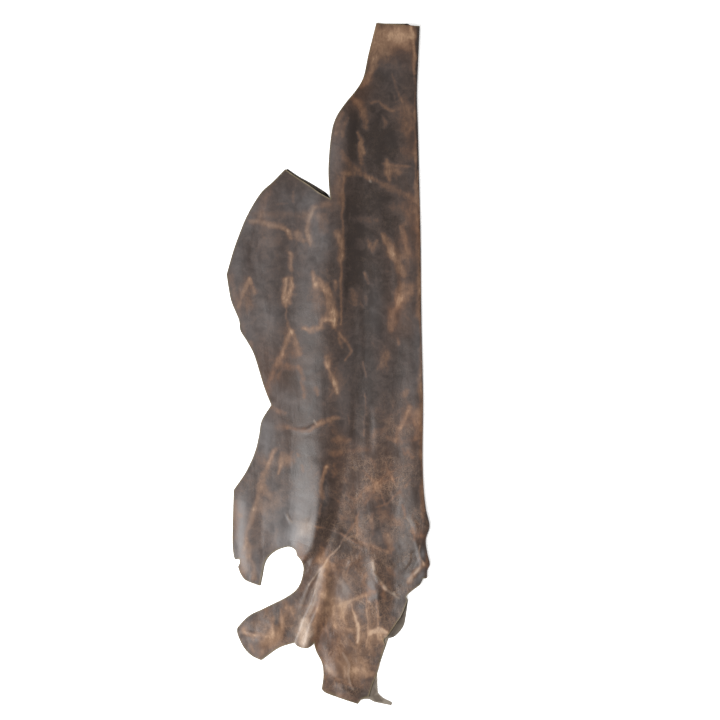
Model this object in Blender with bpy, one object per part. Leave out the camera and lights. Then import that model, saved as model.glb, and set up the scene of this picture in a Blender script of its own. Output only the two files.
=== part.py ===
# A finished cowhide, folded once along its backbone with the grain side out, lying on a flat surface.
# X runs across the hide towards the folded edge, Y along the backbone towards the narrow end, Z up.
# The origin is the middle of the hide, on the surface. Sizes in the tables are millimetres.

import math

import bpy
from mathutils import Vector
from mathutils.geometry import delaunay_2d_cdt

MILLIMETRE = 0.001
LEATHER_THICKNESS = 2.2
LAYER_GAP = 2.2
LOWER_INSET = 4.0

# The roll where the leather turns over, from the narrow end down to where the fold ends:
# y along the backbone, x of the folded edge, how far in the roll's crest lies, height of the roll.
ROLL = [
    (1370, 372, 17, 24),
    (1212, 365, 12, 20),
    (1090, 361, 10, 18),
    (956, 365, 9, 17),
    (753, 370, 9, 17),
    (501, 376, 10, 18),
    (196, 379, 11, 18),
    (-145, 386, 14, 19),
    (-380, 384, 15, 20),
    (-500, 388, 18, 22),
    (-590, 398, 20, 24),
    (-657, 412, 22, 24),
    (-712, 397, 17, 23),
    (-767, 403, 18, 22),
    (-812, 413, 20, 22),
    (-836, 403, 18, 21),
    (-868, 402, 16, 20),
]
ROLL_LANDING = 135.0

# The cut edge of the upper layer, in smooth stretches that meet at corners. Each point is (x, y).
NARROW_END = [(304, 1376), (195, 1386)]
NECK_EDGE = [
    (195, 1386), (163, 1258), (143, 1167), (113, 1113), (72, 1062), (32, 1002), (13, 936), (2, 822), (2, 740),
    (9, 670),
]
FORELEG_CUT = [(9, 670), (-39, 698), (-79, 728), (-129, 760), (-175, 792)]
FORELEG_EDGE = [(-175, 792), (-224, 742), (-275, 694), (-326, 611), (-359, 534), (-386, 459), (-413, 365)]
BELLY_EDGE = [
    (-413, 365), (-405, 311), (-393, 253), (-363, 180), (-357, 137), (-326, 86), (-299, 32), (-262, -89),
    (-232, -166),
]
FLANK_EDGE = [(-232, -166), (-270, -228), (-282, -292), (-299, -359), (-334, -436), (-384, -510)]
HINDLEG_EDGE = [(-384, -510), (-388, -633), (-389, -727), (-383, -782), (-376, -794)]
SMALL_TEAR = [(-376, -794), (-362, -791), (-360, -808), (-367, -821)]
HINDLEG_TIP = [(-367, -821), (-356, -851), (-334, -878), (-278, -900)]
BITE_UPPER = [(-278, -900), (-270, -861), (-256, -800), (-218, -760), (-164, -742), (-135, -754), (-127, -777)]
BITE_LOWER = [(-127, -777), (-106, -806), (-102, -844), (-120, -901), (-164, -942), (-271, -996)]
LOBE_EDGE = [
    (-271, -996), (-319, -1019), (-356, -1054), (-371, -1084), (-346, -1146), (-312, -1183), (-273, -1202),
]
LOBE_FOOT = [(-273, -1202), (-204, -1153), (-138, -1131)]
PIPE_EDGE = [(-138, -1131), (-124, -1144), (-90, -1150), (-68, -1142), (-59, -1127)]
TONGUE_EDGE = [(-59, -1127), (-49, -1166), (-26, -1213), (-20, -1263), (-27, -1320)]
TONGUE_FOOT = [(-27, -1320), (1, -1340), (120, -1380)]
TONGUE_STEP = [(120, -1380), (137, -1359), (164, -1350)]
TONGUE_SIDE = [(164, -1350), (180, -1298), (201, -1248), (218, -1182), (232, -1140)]
SIDE_TEAR = [(232, -1140), (225, -1119), (239, -1106)]
SIDE_CUT = [(239, -1106), (278, -1049), (298, -1017), (322, -958)]
FOLD_END_CUT = [(322, -958), (321, -936), (373, -893)]

# The stretches down the left side, which both layers share.
LEFT_EDGE = [
    FORELEG_EDGE, BELLY_EDGE, FLANK_EDGE, HINDLEG_EDGE, SMALL_TEAR, HINDLEG_TIP, BITE_UPPER, BITE_LOWER,
    LOBE_EDGE, LOBE_FOOT, PIPE_EDGE, TONGUE_EDGE,
]

# The lower layer lies a little inside the upper one where it is hidden. These stretches of it show.
LOWER_NARROW_END = [(337, 1375), (322, 1383), (299, 1383), (199, 1384)]
LOWER_FORELEG_CUT = [(13, 668), (-6, 694), (-37, 715), (-75, 738), (-120, 763), (-166, 794)]
LOWER_TONGUE_FOOT = [(-23, -1316), (5, -1334), (118, -1366)]
LOWER_SHANK = [(118, -1366), (162, -1361), (187, -1372), (225, -1380), (255, -1386)]
LOWER_SHANK_TIP = [(255, -1386), (259, -1374), (225, -1356), (207, -1340), (201, -1324), (199, -1247)]
LOWER_SIDE = [(199, -1247), (222, -1180), (245, -1114)]
LOWER_SIDE_CUT = [(245, -1114), (271, -1105), (304, -1067), (315, -1023), (324, -958)]

# Ridges of the upper layer. Each row is (x, y) on the crest, its height above where the leather lies flat,
# and how far the slope runs out to the left and to the right of the crest.
LONG_RIDGE = [
    (110, 1130, 0, 40, 90),
    (66, 980, 12, 60, 100),
    (28, 720, 17, 90, 120),
    (6, 480, 24, 140, 140),
    (0, 250, 25, 160, 150),
    (-12, -140, 19, 150, 140),
    (-24, -380, 19, 140, 105),
    (-38, -620, 23, 125, 80),
    (-66, -740, 20, 105, 60),
    (-96, -815, 0, 50, 50),
]
PIPE_FOLD = [
    (-16, -800, 0, 16, 24),
    (-16, -870, 8, 26, 50),
    (-26, -930, 12, 32, 64),
    (-40, -990, 16, 38, 64),
    (-68, -1050, 20, 42, 56),
    (-92, -1130, 24, 46, 52),
    (-100, -1200, 26, 50, 50),
]
FORELEG_SWELL = [
    (-170, 745, 0, 50, 60),
    (-215, 600, 5, 70, 70),
    (-225, 420, 5, 80, 80),
    (-235, 260, 5, 80, 70),
    (-200, 60, 0, 60, 60),
]
HINDLEG_SWELL = [
    (-300, -470, 0, 50, 60),
    (-330, -560, 4, 50, 70),
    (-336, -700, 6, 46, 70),
    (-322, -800, 5, 40, 60),
    (-300, -880, 0, 36, 40),
]
BACK_SWELL = [
    (215, 900, 0, 70, 80),
    (225, 400, 5, 90, 80),
    (210, -100, 4, 90, 90),
    (190, -420, 5, 90, 100),
    (180, -700, 4, 80, 80),
    (205, -930, 6, 60, 70),
    (120, -1060, 0, 60, 60),
]
TONGUE_SWELL = [
    (-10, -1120, 0, 40, 50),
    (20, -1190, 6, 45, 70),
    (45, -1262, 8, 60, 90),
    (88, -1330, 5, 60, 60),
    (104, -1372, 0, 50, 50),
]
LOBE_SWELL = [
    (-150, -1020, 0, 50, 50),
    (-220, -1075, 7, 60, 60),
    (-275, -1110, 6, 60, 60),
    (-330, -1120, 0, 50, 50),
]
SIDE_CREASE = [
    (172, -770, 0, 30, 40),
    (192, -835, 4, 40, 40),
    (204, -930, 5, 44, 40),
    (216, -1030, 4, 36, 36),
    (216, -1085, 0, 30, 30),
]
RIDGES = [
    LONG_RIDGE, PIPE_FOLD, FORELEG_SWELL, HINDLEG_SWELL, BACK_SWELL, TONGUE_SWELL, LOBE_SWELL, SIDE_CREASE,
]

# How finely the leather is divided: along a cut edge, over each layer, and finer in the creased end.
EDGE_STEP = 20.0
UPPER_PITCH = 33.0
CREASED_PITCH = 22.0
CREASED_FROM = -760.0
LOWER_PITCH = 130.0
ROLL_ROW_STEP = 52.0
ROLL_HALF_WIDTH = 15.0
ROLL_COLUMNS = [-1.0, -0.66, -0.33, 0.0, 0.33, 0.66, 1.0]
LANDING_COLUMNS = [16.0, 36.0, 60.0]
EDGE_CLEARANCE = 0.55
CLOSEST_POINTS = 1e-5

# Heights of the middle of the leather in each layer.
LOWER_MIDDLE = LEATHER_THICKNESS / 2
UPPER_MIDDLE = LOWER_MIDDLE + LEATHER_THICKNESS + LAYER_GAP


def hermite(rows, y, column):
    """Smooth value of one column of a table whose first column falls from row to row."""
    if y >= rows[0][0]:
        return rows[0][column]
    if y <= rows[-1][0]:
        return rows[-1][column]
    upper = max(index for index, row in enumerate(rows) if row[0] > y)
    slopes = []
    for index in (upper, upper + 1):
        before = rows[max(index - 1, 0)]
        after = rows[min(index + 1, len(rows) - 1)]
        slopes.append((after[column] - before[column]) / (after[0] - before[0]))
    start, end = rows[upper], rows[upper + 1]
    span = end[0] - start[0]
    share = (y - start[0]) / span
    square, cube = share ** 2, share ** 3
    return (
        (2 * cube - 3 * square + 1) * start[column]
        + (cube - 2 * square + share) * span * slopes[0]
        + (3 * square - 2 * cube) * end[column]
        + (cube - square) * span * slopes[1]
    )


def roll_at(y):
    """Where the flat layer meets the roll, how far the roll bulges past that, and half its height."""
    edge = hermite(ROLL, y, 1)
    reach = hermite(ROLL, y, 2)
    half_height = (hermite(ROLL, y, 3) - LEATHER_THICKNESS) / 2
    return edge - LEATHER_THICKNESS / 2 - reach, reach, half_height


def smooth_stretch(points, step):
    """Points along a smooth curve through a stretch's own points, without its last one."""
    vectors = [Vector(point) for point in points]
    curve = []
    for index in range(len(vectors) - 1):
        start, end = vectors[index], vectors[index + 1]
        before = vectors[index - 1] if index > 0 else start * 2 - end
        after = vectors[index + 2] if index + 2 < len(vectors) else end * 2 - start
        pieces = max(1, round((end - start).length / step))
        for piece in range(pieces):
            t = piece / pieces
            curve.append(0.5 * (
                2 * start
                + (end - before) * t
                + (2 * before - 5 * start + 4 * end - after) * t ** 2
                + (3 * start - before - 3 * end + after) * t ** 3
            ))
    return curve


def cut_edge(stretches):
    """One cut edge, from the narrow end round to where the fold ends."""
    curve = []
    for stretch in stretches:
        curve += smooth_stretch(stretch, EDGE_STEP)
    curve.append(Vector(stretches[-1][-1]))
    return curve


def shifted(points, across):
    return [(x + across, y) for x, y in points]


def upper_edge():
    return cut_edge(
        [NARROW_END, NECK_EDGE, FORELEG_CUT] + LEFT_EDGE
        + [TONGUE_FOOT, TONGUE_STEP, TONGUE_SIDE, SIDE_TEAR, SIDE_CUT, FOLD_END_CUT]
    )


def lower_edge():
    neck = LOWER_NARROW_END[-1:] + shifted(NECK_EDGE[1:-1], LOWER_INSET) + LOWER_FORELEG_CUT[:1]
    hidden = [shifted(stretch, LOWER_INSET) for stretch in LEFT_EDGE]
    hidden[0] = LOWER_FORELEG_CUT[-1:] + hidden[0][1:]
    hidden[-1] = hidden[-1][:-1] + LOWER_TONGUE_FOOT[:1]
    fold_end = LOWER_SIDE_CUT[-1:] + FOLD_END_CUT[1:]
    return cut_edge(
        [LOWER_NARROW_END, neck, LOWER_FORELEG_CUT] + hidden
        + [LOWER_TONGUE_FOOT, LOWER_SHANK, LOWER_SHANK_TIP, LOWER_SIDE, LOWER_SIDE_CUT, fold_end]
    )


def to_pattern(point, side):
    """Plan position to the flat pattern, which runs out from the backbone on side 1 or side -1."""
    landing = roll_at(point.y)[0]
    return Vector((side * (ROLL_HALF_WIDTH + landing - point.x), point.y))


def flat_pattern():
    """Outline of the unfolded hide, the upper layer on the positive side of the backbone."""
    fold_top = Vector((0.0, ROLL[0][0]))
    fold_bottom = Vector((0.0, ROLL[-1][0]))
    pattern = [fold_top] + [to_pattern(point, 1) for point in upper_edge()] + [fold_bottom]
    return pattern + [to_pattern(point, -1) for point in reversed(lower_edge())]


def inside(point, outline):
    crossings = False
    for start, end in zip(outline, outline[1:] + outline[:1]):
        if (start.y > point.y) != (end.y > point.y):
            if point.x < start.x + (point.y - start.y) / (end.y - start.y) * (end.x - start.x):
                crossings = not crossings
    return crossings


def distance_to(outline, point):
    nearest = math.inf
    for start, end in zip(outline, outline[1:] + outline[:1]):
        run = end - start
        share = min(max((point - start).dot(run) / run.length_squared, 0.0), 1.0)
        nearest = min(nearest, (point - start - run * share).length)
    return nearest


def staggered_points(low, high, pitch):
    """Rows of points with every other row shifted by half a pitch."""
    row_step = pitch * math.sqrt(3) / 2
    row_count = int((high.y - low.y) / row_step)
    column_count = int((high.x - low.x) / pitch)
    for row in range(row_count + 1):
        for column in range(column_count + 1):
            yield Vector((low.x + (column + row % 2 / 2) * pitch, low.y + row * row_step)), pitch


def inner_points(outline):
    """Points inside the pattern: even columns on the roll and its landing, staggered rows elsewhere."""
    top, bottom = ROLL[0][0], ROLL[-1][0]
    columns = [share * ROLL_HALF_WIDTH for share in ROLL_COLUMNS]
    columns += [ROLL_HALF_WIDTH + column for column in LANDING_COLUMNS]
    rows = round((top - bottom) / ROLL_ROW_STEP)
    wanted = []
    for row in range(1, rows):
        y = top + (bottom - top) * row / rows
        wanted += [(Vector((column, y)), ROLL_HALF_WIDTH) for column in columns]
    grid_start = columns[-1] + UPPER_PITCH
    far_side = max(point.x for point in outline)
    near_side = min(point.x for point in outline)
    low_end = min(point.y for point in outline)
    wanted += staggered_points(Vector((grid_start, CREASED_FROM)), Vector((far_side, top)), UPPER_PITCH)
    wanted += staggered_points(
        Vector((grid_start, low_end)), Vector((far_side, CREASED_FROM - CREASED_PITCH)), CREASED_PITCH,
    )
    wanted += staggered_points(
        Vector((near_side, low_end)), Vector((columns[0] - LOWER_PITCH / 2, top)), LOWER_PITCH,
    )
    return [
        point for point, pitch in wanted
        if inside(point, outline) and distance_to(outline, point) > pitch * EDGE_CLEARANCE
    ]


def ridge_height(rows, x, y):
    """Height that one ridge adds at a place, from the nearest point on its crest."""
    best_distance, best_height = math.inf, 0.0
    place = Vector((x, y))
    for start, end in zip(rows, rows[1:]):
        run = Vector(end[:2]) - Vector(start[:2])
        offset = place - Vector(start[:2])
        share = min(max(offset.dot(run) / run.length_squared, 0.0), 1.0)
        distance = (offset - run * share).length
        if distance < best_distance:
            best_distance = distance
            to_right = run.x * offset.y - run.y * offset.x > 0
            width_column = 4 if to_right else 3
            height = start[2] + (end[2] - start[2]) * share
            width = start[width_column] + (end[width_column] - start[width_column]) * share
            best_height = height * 0.5 * (1 + math.cos(math.pi * min(distance / width, 1.0)))
    return best_height


def folded_place(pattern_point):
    """Place in space of the middle of the leather, from its place on the flat pattern."""
    across, y = pattern_point
    landing, reach, half_height = roll_at(y)
    if abs(across) <= ROLL_HALF_WIDTH:
        turn = across / ROLL_HALF_WIDTH * math.pi / 2
        return Vector((
            landing + reach * math.cos(turn), y, LOWER_MIDDLE + half_height * (1 + math.sin(turn)),
        ))
    x = landing - (abs(across) - ROLL_HALF_WIDTH)
    if across < 0:
        return Vector((x, y, LOWER_MIDDLE))
    descent = min((landing - x) / ROLL_LANDING, 1.0)
    roll_top = LOWER_MIDDLE + 2 * half_height
    settled = UPPER_MIDDLE + sum(ridge_height(rows, x, y) for rows in RIDGES)
    still_raised = 0.5 * (1 + math.cos(math.pi * descent))
    return Vector((x, y, settled + (roll_top - UPPER_MIDDLE) * still_raised))


def leather_material():
    material = bpy.data.materials.new("pull_up_leather")
    material.use_nodes = True
    shader = material.node_tree.nodes["Principled BSDF"]
    shader.inputs["Base Color"].default_value = (0.07, 0.055, 0.045, 1.0)
    shader.inputs["Roughness"].default_value = 0.5
    shader.inputs["Metallic"].default_value = 0.0
    return material


def make_cowhide():
    outline = flat_pattern()
    points = outline + inner_points(outline)
    count = len(outline)
    edges = [(index, (index + 1) % count) for index in range(count)]
    outline_face = list(range(count))
    vertices, _, triangles, _, _, _ = delaunay_2d_cdt(points, edges, [outline_face], 1, CLOSEST_POINTS)
    places = [folded_place(vertex) * MILLIMETRE for vertex in vertices]
    mesh = bpy.data.meshes.new("cowhide")
    mesh.from_pydata(places, [], triangles)
    mesh.shade_smooth()
    mesh.materials.append(leather_material())
    hide = bpy.data.objects.new("cowhide", mesh)
    bpy.context.scene.collection.objects.link(hide)
    thickness = hide.modifiers.new("leather thickness", "SOLIDIFY")
    thickness.thickness = LEATHER_THICKNESS * MILLIMETRE
    thickness.offset = 0.0
    thickness.use_even_offset = True
    return hide


for leftover in list(bpy.data.objects):
    bpy.data.objects.remove(leftover)
make_cowhide()
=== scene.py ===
import bpy
import numpy as np
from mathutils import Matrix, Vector, kdtree
from mathutils.geometry import delaunay_2d_cdt


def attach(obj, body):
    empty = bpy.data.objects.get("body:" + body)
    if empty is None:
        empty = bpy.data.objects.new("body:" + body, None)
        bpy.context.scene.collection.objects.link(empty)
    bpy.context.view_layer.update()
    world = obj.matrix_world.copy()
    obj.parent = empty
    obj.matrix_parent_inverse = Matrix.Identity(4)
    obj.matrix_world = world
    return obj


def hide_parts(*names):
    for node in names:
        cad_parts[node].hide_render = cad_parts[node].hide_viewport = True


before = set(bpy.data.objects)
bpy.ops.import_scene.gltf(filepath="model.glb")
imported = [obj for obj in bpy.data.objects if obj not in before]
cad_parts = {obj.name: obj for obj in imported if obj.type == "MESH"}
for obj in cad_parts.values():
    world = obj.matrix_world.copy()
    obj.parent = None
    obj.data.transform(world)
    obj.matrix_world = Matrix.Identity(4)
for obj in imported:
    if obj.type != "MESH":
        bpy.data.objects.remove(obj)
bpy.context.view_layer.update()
mm = 0.001

hideShape = {
    "thickness": 2.2,        # 5 to 6 oz leather
    "layerGap": 2.2,         # air between the two layers where they lie flat
    "leastGap": 0.5,         # air left where a trough comes down
    "lowerInset": 4.0,       # how far inside the upper layer the hidden edge lies
    "rollHalfWidth": 15.0,   # half the leather in the roll, on the flat pattern
    "rollLanding": 135.0,    # how soon the upper layer comes down from the roll
    "rollFoot": 30.0,        # how soon the folds reach their height beside it
    "rollEndBow": 0.15,      # a straight row of points would lose a triangle at the roll's ends
    "edgeStep": 6.0,         # spacing of points along the cut edge
    "grainPitch": 4.8,       # spacing of points on the side that shows
    "fleshPitch": 16.0,
    "lowerGrainPitch": 38.0,
    "lowerFleshPitch": 22.0,
    "rollGrainPitch": (2.6, 7.0),     # round the roll, and along it
    "rollFleshPitch": (5.0, 16.0),
    "rollMargin": 2.0,       # the finer rows go on this far past the roll
    "edgeRoom": 0.62,        # share of a pitch that stays clear along the edge
    "mostEdgePitch": 9.0,
    "edgeBulge": 0.25,       # the cut edge is a little rounded
    "wornRim": 7.0,          # width of the paler rim
    "lowerShift": 700.0,     # takes the lower layer out of reach of the marks above it
    "wave": [(1.1, 150, 3), (0.7, 60, 4), (0.25, 24, 5)],        # height, size and seed of soft waves
    "endWave": [(1.3, 90, 6), (0.9, 42, 7), (0.4, 20, 8)],       # more of them in the creased end
    "creasedFrom": -480.0,
    "creasedBy": -760.0,
}

# The roll: y, x of the folded edge, how far in its crest lies, height.
rollTable = [
    (1370, 372, 17, 24),
    (1212, 365, 12, 20),
    (1090, 361, 10, 18),
    (956, 365, 9, 17),
    (753, 370, 9, 17),
    (501, 376, 10, 18),
    (196, 379, 11, 18),
    (-145, 386, 14, 19),
    (-380, 384, 15, 20),
    (-500, 388, 18, 22),
    (-590, 398, 20, 24),
    (-657, 412, 22, 24),
    (-712, 397, 17, 23),
    (-767, 403, 18, 22),
    (-812, 413, 20, 22),
    (-836, 403, 18, 21),
    (-868, 402, 16, 20),
]

# The cut edge of the upper layer, in smooth stretches that meet at corners.
narrowEnd = [(304, 1376), (195, 1386)]
neckEdge = [
    (195, 1386), (163, 1258), (143, 1167), (113, 1113), (72, 1062), (32, 1002), (13, 936), (2, 822),
    (2, 740), (9, 670),
]
forelegCut = [(9, 670), (-39, 698), (-79, 728), (-129, 760), (-175, 792)]
forelegEdge = [(-175, 792), (-224, 742), (-275, 694), (-326, 611), (-359, 534), (-386, 459), (-413, 365)]
bellyEdge = [
    (-413, 365), (-405, 311), (-393, 253), (-363, 180), (-357, 137), (-326, 86), (-299, 32), (-262, -89),
    (-232, -166),
]
flankEdge = [(-232, -166), (-270, -228), (-282, -292), (-299, -359), (-334, -436), (-384, -510)]
hindlegEdge = [(-384, -510), (-388, -633), (-389, -727), (-383, -782), (-376, -794)]
smallTear = [(-376, -794), (-362, -791), (-360, -808), (-367, -821)]
hindlegTip = [(-367, -821), (-356, -851), (-334, -878), (-278, -900)]
biteUpper = [
    (-278, -900), (-270, -861), (-256, -800), (-218, -760), (-164, -742), (-135, -754), (-127, -777),
]
biteLower = [(-127, -777), (-106, -806), (-102, -844), (-120, -901), (-164, -942), (-271, -996)]
lobeEdge = [
    (-271, -996), (-319, -1019), (-356, -1054), (-371, -1084), (-346, -1146), (-312, -1183),
    (-273, -1202),
]
lobeFoot = [(-273, -1202), (-204, -1153), (-138, -1131)]
pipeEdge = [(-138, -1131), (-124, -1144), (-90, -1150), (-68, -1142), (-59, -1127)]
tongueEdge = [(-59, -1127), (-49, -1166), (-26, -1213), (-20, -1263), (-27, -1320)]
tongueFoot = [(-27, -1320), (1, -1340), (120, -1380)]
tongueStep = [(120, -1380), (137, -1359), (164, -1350)]
tongueSide = [(164, -1350), (180, -1298), (201, -1248), (218, -1182), (232, -1140)]
sideTear = [(232, -1140), (225, -1119), (239, -1106)]
sideCut = [(239, -1106), (278, -1049), (298, -1017), (322, -958)]
foldEndCut = [(322, -958), (321, -936), (373, -893)]
leftEdge = [
    forelegEdge, bellyEdge, flankEdge, hindlegEdge, smallTear, hindlegTip, biteUpper, biteLower, lobeEdge,
    lobeFoot, pipeEdge, tongueEdge,
]

# Stretches of the lower layer that can be seen past the upper one.
lowerNarrowEnd = [(337, 1375), (322, 1383), (299, 1383), (199, 1384)]
lowerForelegCut = [(13, 668), (-6, 694), (-37, 715), (-75, 738), (-120, 763), (-166, 794)]
lowerTongueFoot = [(-23, -1316), (5, -1334), (118, -1366)]
lowerShank = [(118, -1366), (162, -1361), (187, -1372), (225, -1380), (255, -1386)]
lowerShankTip = [(255, -1386), (259, -1374), (225, -1356), (207, -1340), (201, -1324), (199, -1247)]
lowerSide = [(199, -1247), (222, -1180), (245, -1114)]
lowerSideCut = [(245, -1114), (271, -1105), (304, -1067), (315, -1023), (324, -958)]

# Ridges of the upper layer: x, y on the crest, height, and the run of the slope to its left and right.
mainRidges = {
    "long ridge": [
        (110, 1130, 0, 40, 90),
        (66, 980, 12, 60, 100),
        (28, 720, 17, 90, 120),
        (6, 480, 24, 140, 140),
        (0, 250, 25, 160, 150),
        (-12, -140, 19, 150, 140),
        (-24, -380, 19, 140, 105),
        (-38, -620, 23, 125, 80),
        (-66, -740, 20, 105, 60),
        (-96, -815, 0, 50, 50),
    ],
    "pipe fold": [
        (-16, -800, 0, 16, 24),
        (-16, -870, 8, 26, 50),
        (-26, -930, 12, 32, 64),
        (-40, -990, 16, 38, 64),
        (-68, -1050, 20, 42, 56),
        (-92, -1130, 24, 46, 52),
        (-100, -1200, 26, 50, 50),
    ],
    "foreleg swell": [
        (-170, 745, 0, 50, 60),
        (-215, 600, 5, 70, 70),
        (-225, 420, 5, 80, 80),
        (-235, 260, 5, 80, 70),
        (-200, 60, 0, 60, 60),
    ],
    "hindleg swell": [
        (-300, -470, 0, 50, 60),
        (-330, -560, 4, 50, 70),
        (-336, -700, 6, 46, 70),
        (-322, -800, 5, 40, 60),
        (-300, -880, 0, 36, 40),
    ],
    "back swell": [
        (215, 900, 0, 70, 80),
        (225, 400, 5, 90, 80),
        (210, -100, 4, 90, 90),
        (190, -420, 5, 90, 100),
        (180, -700, 4, 80, 80),
        (205, -930, 6, 60, 70),
        (120, -1060, 0, 60, 60),
    ],
    "tongue swell": [
        (-10, -1120, 0, 40, 50),
        (20, -1190, 6, 45, 70),
        (45, -1262, 8, 60, 90),
        (88, -1330, 5, 60, 60),
        (104, -1372, 0, 50, 50),
    ],
    "lobe swell": [
        (-150, -1020, 0, 50, 50),
        (-220, -1075, 7, 60, 60),
        (-275, -1110, 6, 60, 60),
        (-330, -1120, 0, 50, 50),
    ],
    "side crease": [
        (172, -770, 0, 30, 40),
        (192, -835, 2.5, 44, 40),
        (204, -930, 3, 50, 40),
        (216, -1030, 2.5, 40, 36),
        (216, -1085, 0, 30, 30),
    ],
}

# Smaller creases (height above 0) and troughs (below 0) that lie on the main ridges.
smallCreases = {
    "shoulder of the long ridge": [
        (62, 700, 0, 40, 30), (62, 640, 4, 46, 30), (57, 500, 5, 50, 30), (55, 300, 4, 50, 32),
        (56, 180, 0, 50, 40),
    ],
    "neck crease": [
        (112, 1060, 0, 40, 30), (98, 1000, 5, 50, 30), (74, 850, 6, 50, 32), (68, 720, 3, 44, 32),
    ],
    "second band": [
        (80, -60, 0, 40, 24), (84, -140, 3, 44, 24), (84, -250, 3, 44, 24), (80, -320, 0, 40, 24),
    ],
    "flank crest": [
        (-22, -380, 0, 50, 22), (-26, -450, 4, 56, 20), (-36, -600, 6, 60, 20), (-54, -700, 6, 56, 18),
        (-66, -760, 3, 40, 16),
    ],
    "foreleg groove": [
        (-262, 640, 0, 24, 24), (-270, 600, -3, 26, 22), (-290, 520, -4, 26, 22), (-306, 430, -3, 26, 22),
        (-312, 380, 0, 24, 24),
    ],
    "belly groove": [
        (168, -160, 0, 24, 24), (170, -230, -2, 26, 26), (172, -320, -2, 26, 26),
        (170, -380, 0, 24, 24),
    ],
    "dark valley": [(-104, -845, -2, 20, 16), (-86, -800, -5, 22, 18), (-62, -755, 0, 16, 16)],
    "transverse crease": [
        (-6, -655, 0, 12, 14), (60, -690, 0.8, 14, 16), (112, -722, 1, 14, 16), (135, -742, 1, 14, 16),
        (202, -756, 0, 12, 14),
    ],
    "hook crease": [
        (132, -756, 0, 12, 12), (120, -792, 2, 14, 14), (92, -802, 2, 14, 14), (78, -834, 0, 12, 12),
    ],
    "fan crease one": [
        (2, -790, 0, 10, 12), (-62, -865, 1, 12, 14), (-103, -958, 1, 12, 12),
        (-114, -1000, 0, 10, 12),
    ],
    "fan crease two": [
        (-28, -813, 0, 10, 12), (-38, -889, 2, 12, 14), (-58, -964, 2, 12, 14),
        (-92, -1036, 0, 12, 14),
    ],
    "fan crease three": [(-4, -850, 0, 12, 14), (-10, -940, 2, 14, 16), (-34, -1060, 0, 12, 14)],
    "side line": [
        (178, -796, 0, 12, 14), (186, -844, 3, 14, 14), (208, -881, 3, 14, 14), (235, -913, 3, 14, 14),
        (264, -936, 2, 14, 14), (292, -952, 0, 12, 12),
    ],
    "side fold": [(203, -915, 0, 14, 12), (204, -985, 2.5, 16, 12), (212, -1030, 0, 12, 12)],
    "fold end crease": [
        (352, -700, 0, 14, 16), (366, -735, 4, 16, 16), (372, -770, 5, 16, 16), (385, -806, 5, 18, 14),
        (380, -828, 5, 18, 16), (350, -850, 5, 16, 20), (318, -872, 0, 14, 16),
    ],
    "fold end trough": [
        (345, -752, 0, 18, 14), (352, -790, -5, 20, 16), (338, -826, -5, 20, 16),
        (300, -850, 0, 18, 14),
    ],
    "rim facet": [(330, -612, 0, 16, 18), (352, -650, 3, 18, 20), (362, -690, 0, 16, 16)],
    "lobe crease": [(-372, -1086, 0, 18, 16), (-322, -1092, 3, 18, 16), (-268, -1106, 0, 18, 16)],
    "tongue crease": [
        (60, -1173, 0, 14, 12), (88, -1219, 1, 16, 12), (83, -1266, 1.5, 16, 12), (100, -1318, 1.5, 14, 12),
        (122, -1336, 0, 12, 12),
    ],
    "tongue hollow": [
        (-16, -1254, 0, 20, 16), (30, -1289, -3, 22, 16), (77, -1306, -4, 22, 16), (112, -1330, -3, 20, 16),
        (164, -1341, 0, 16, 14),
    ],
    "long faint crease": [
        (118, 330, 0, 20, 20), (126, 220, 1.6, 24, 22), (132, 60, 1.6, 24, 22), (128, -60, 0, 20, 20),
    ],
    "back crease": [
        (262, 620, 0, 22, 22), (270, 480, 1.8, 26, 24), (276, 300, 1.8, 26, 24), (270, 150, 0, 22, 22),
    ],
    "lower band": [
        (-150, -268, 0, 20, 16), (-88, -268, 2, 20, 16), (-32, -238, 2, 20, 16), (24, -212, 0, 20, 16),
    ],
    "thigh crease": [(-176, -596, 0, 9, 9), (-160, -628, 1.6, 10, 10), (-148, -652, 0, 9, 9)],
}

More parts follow.
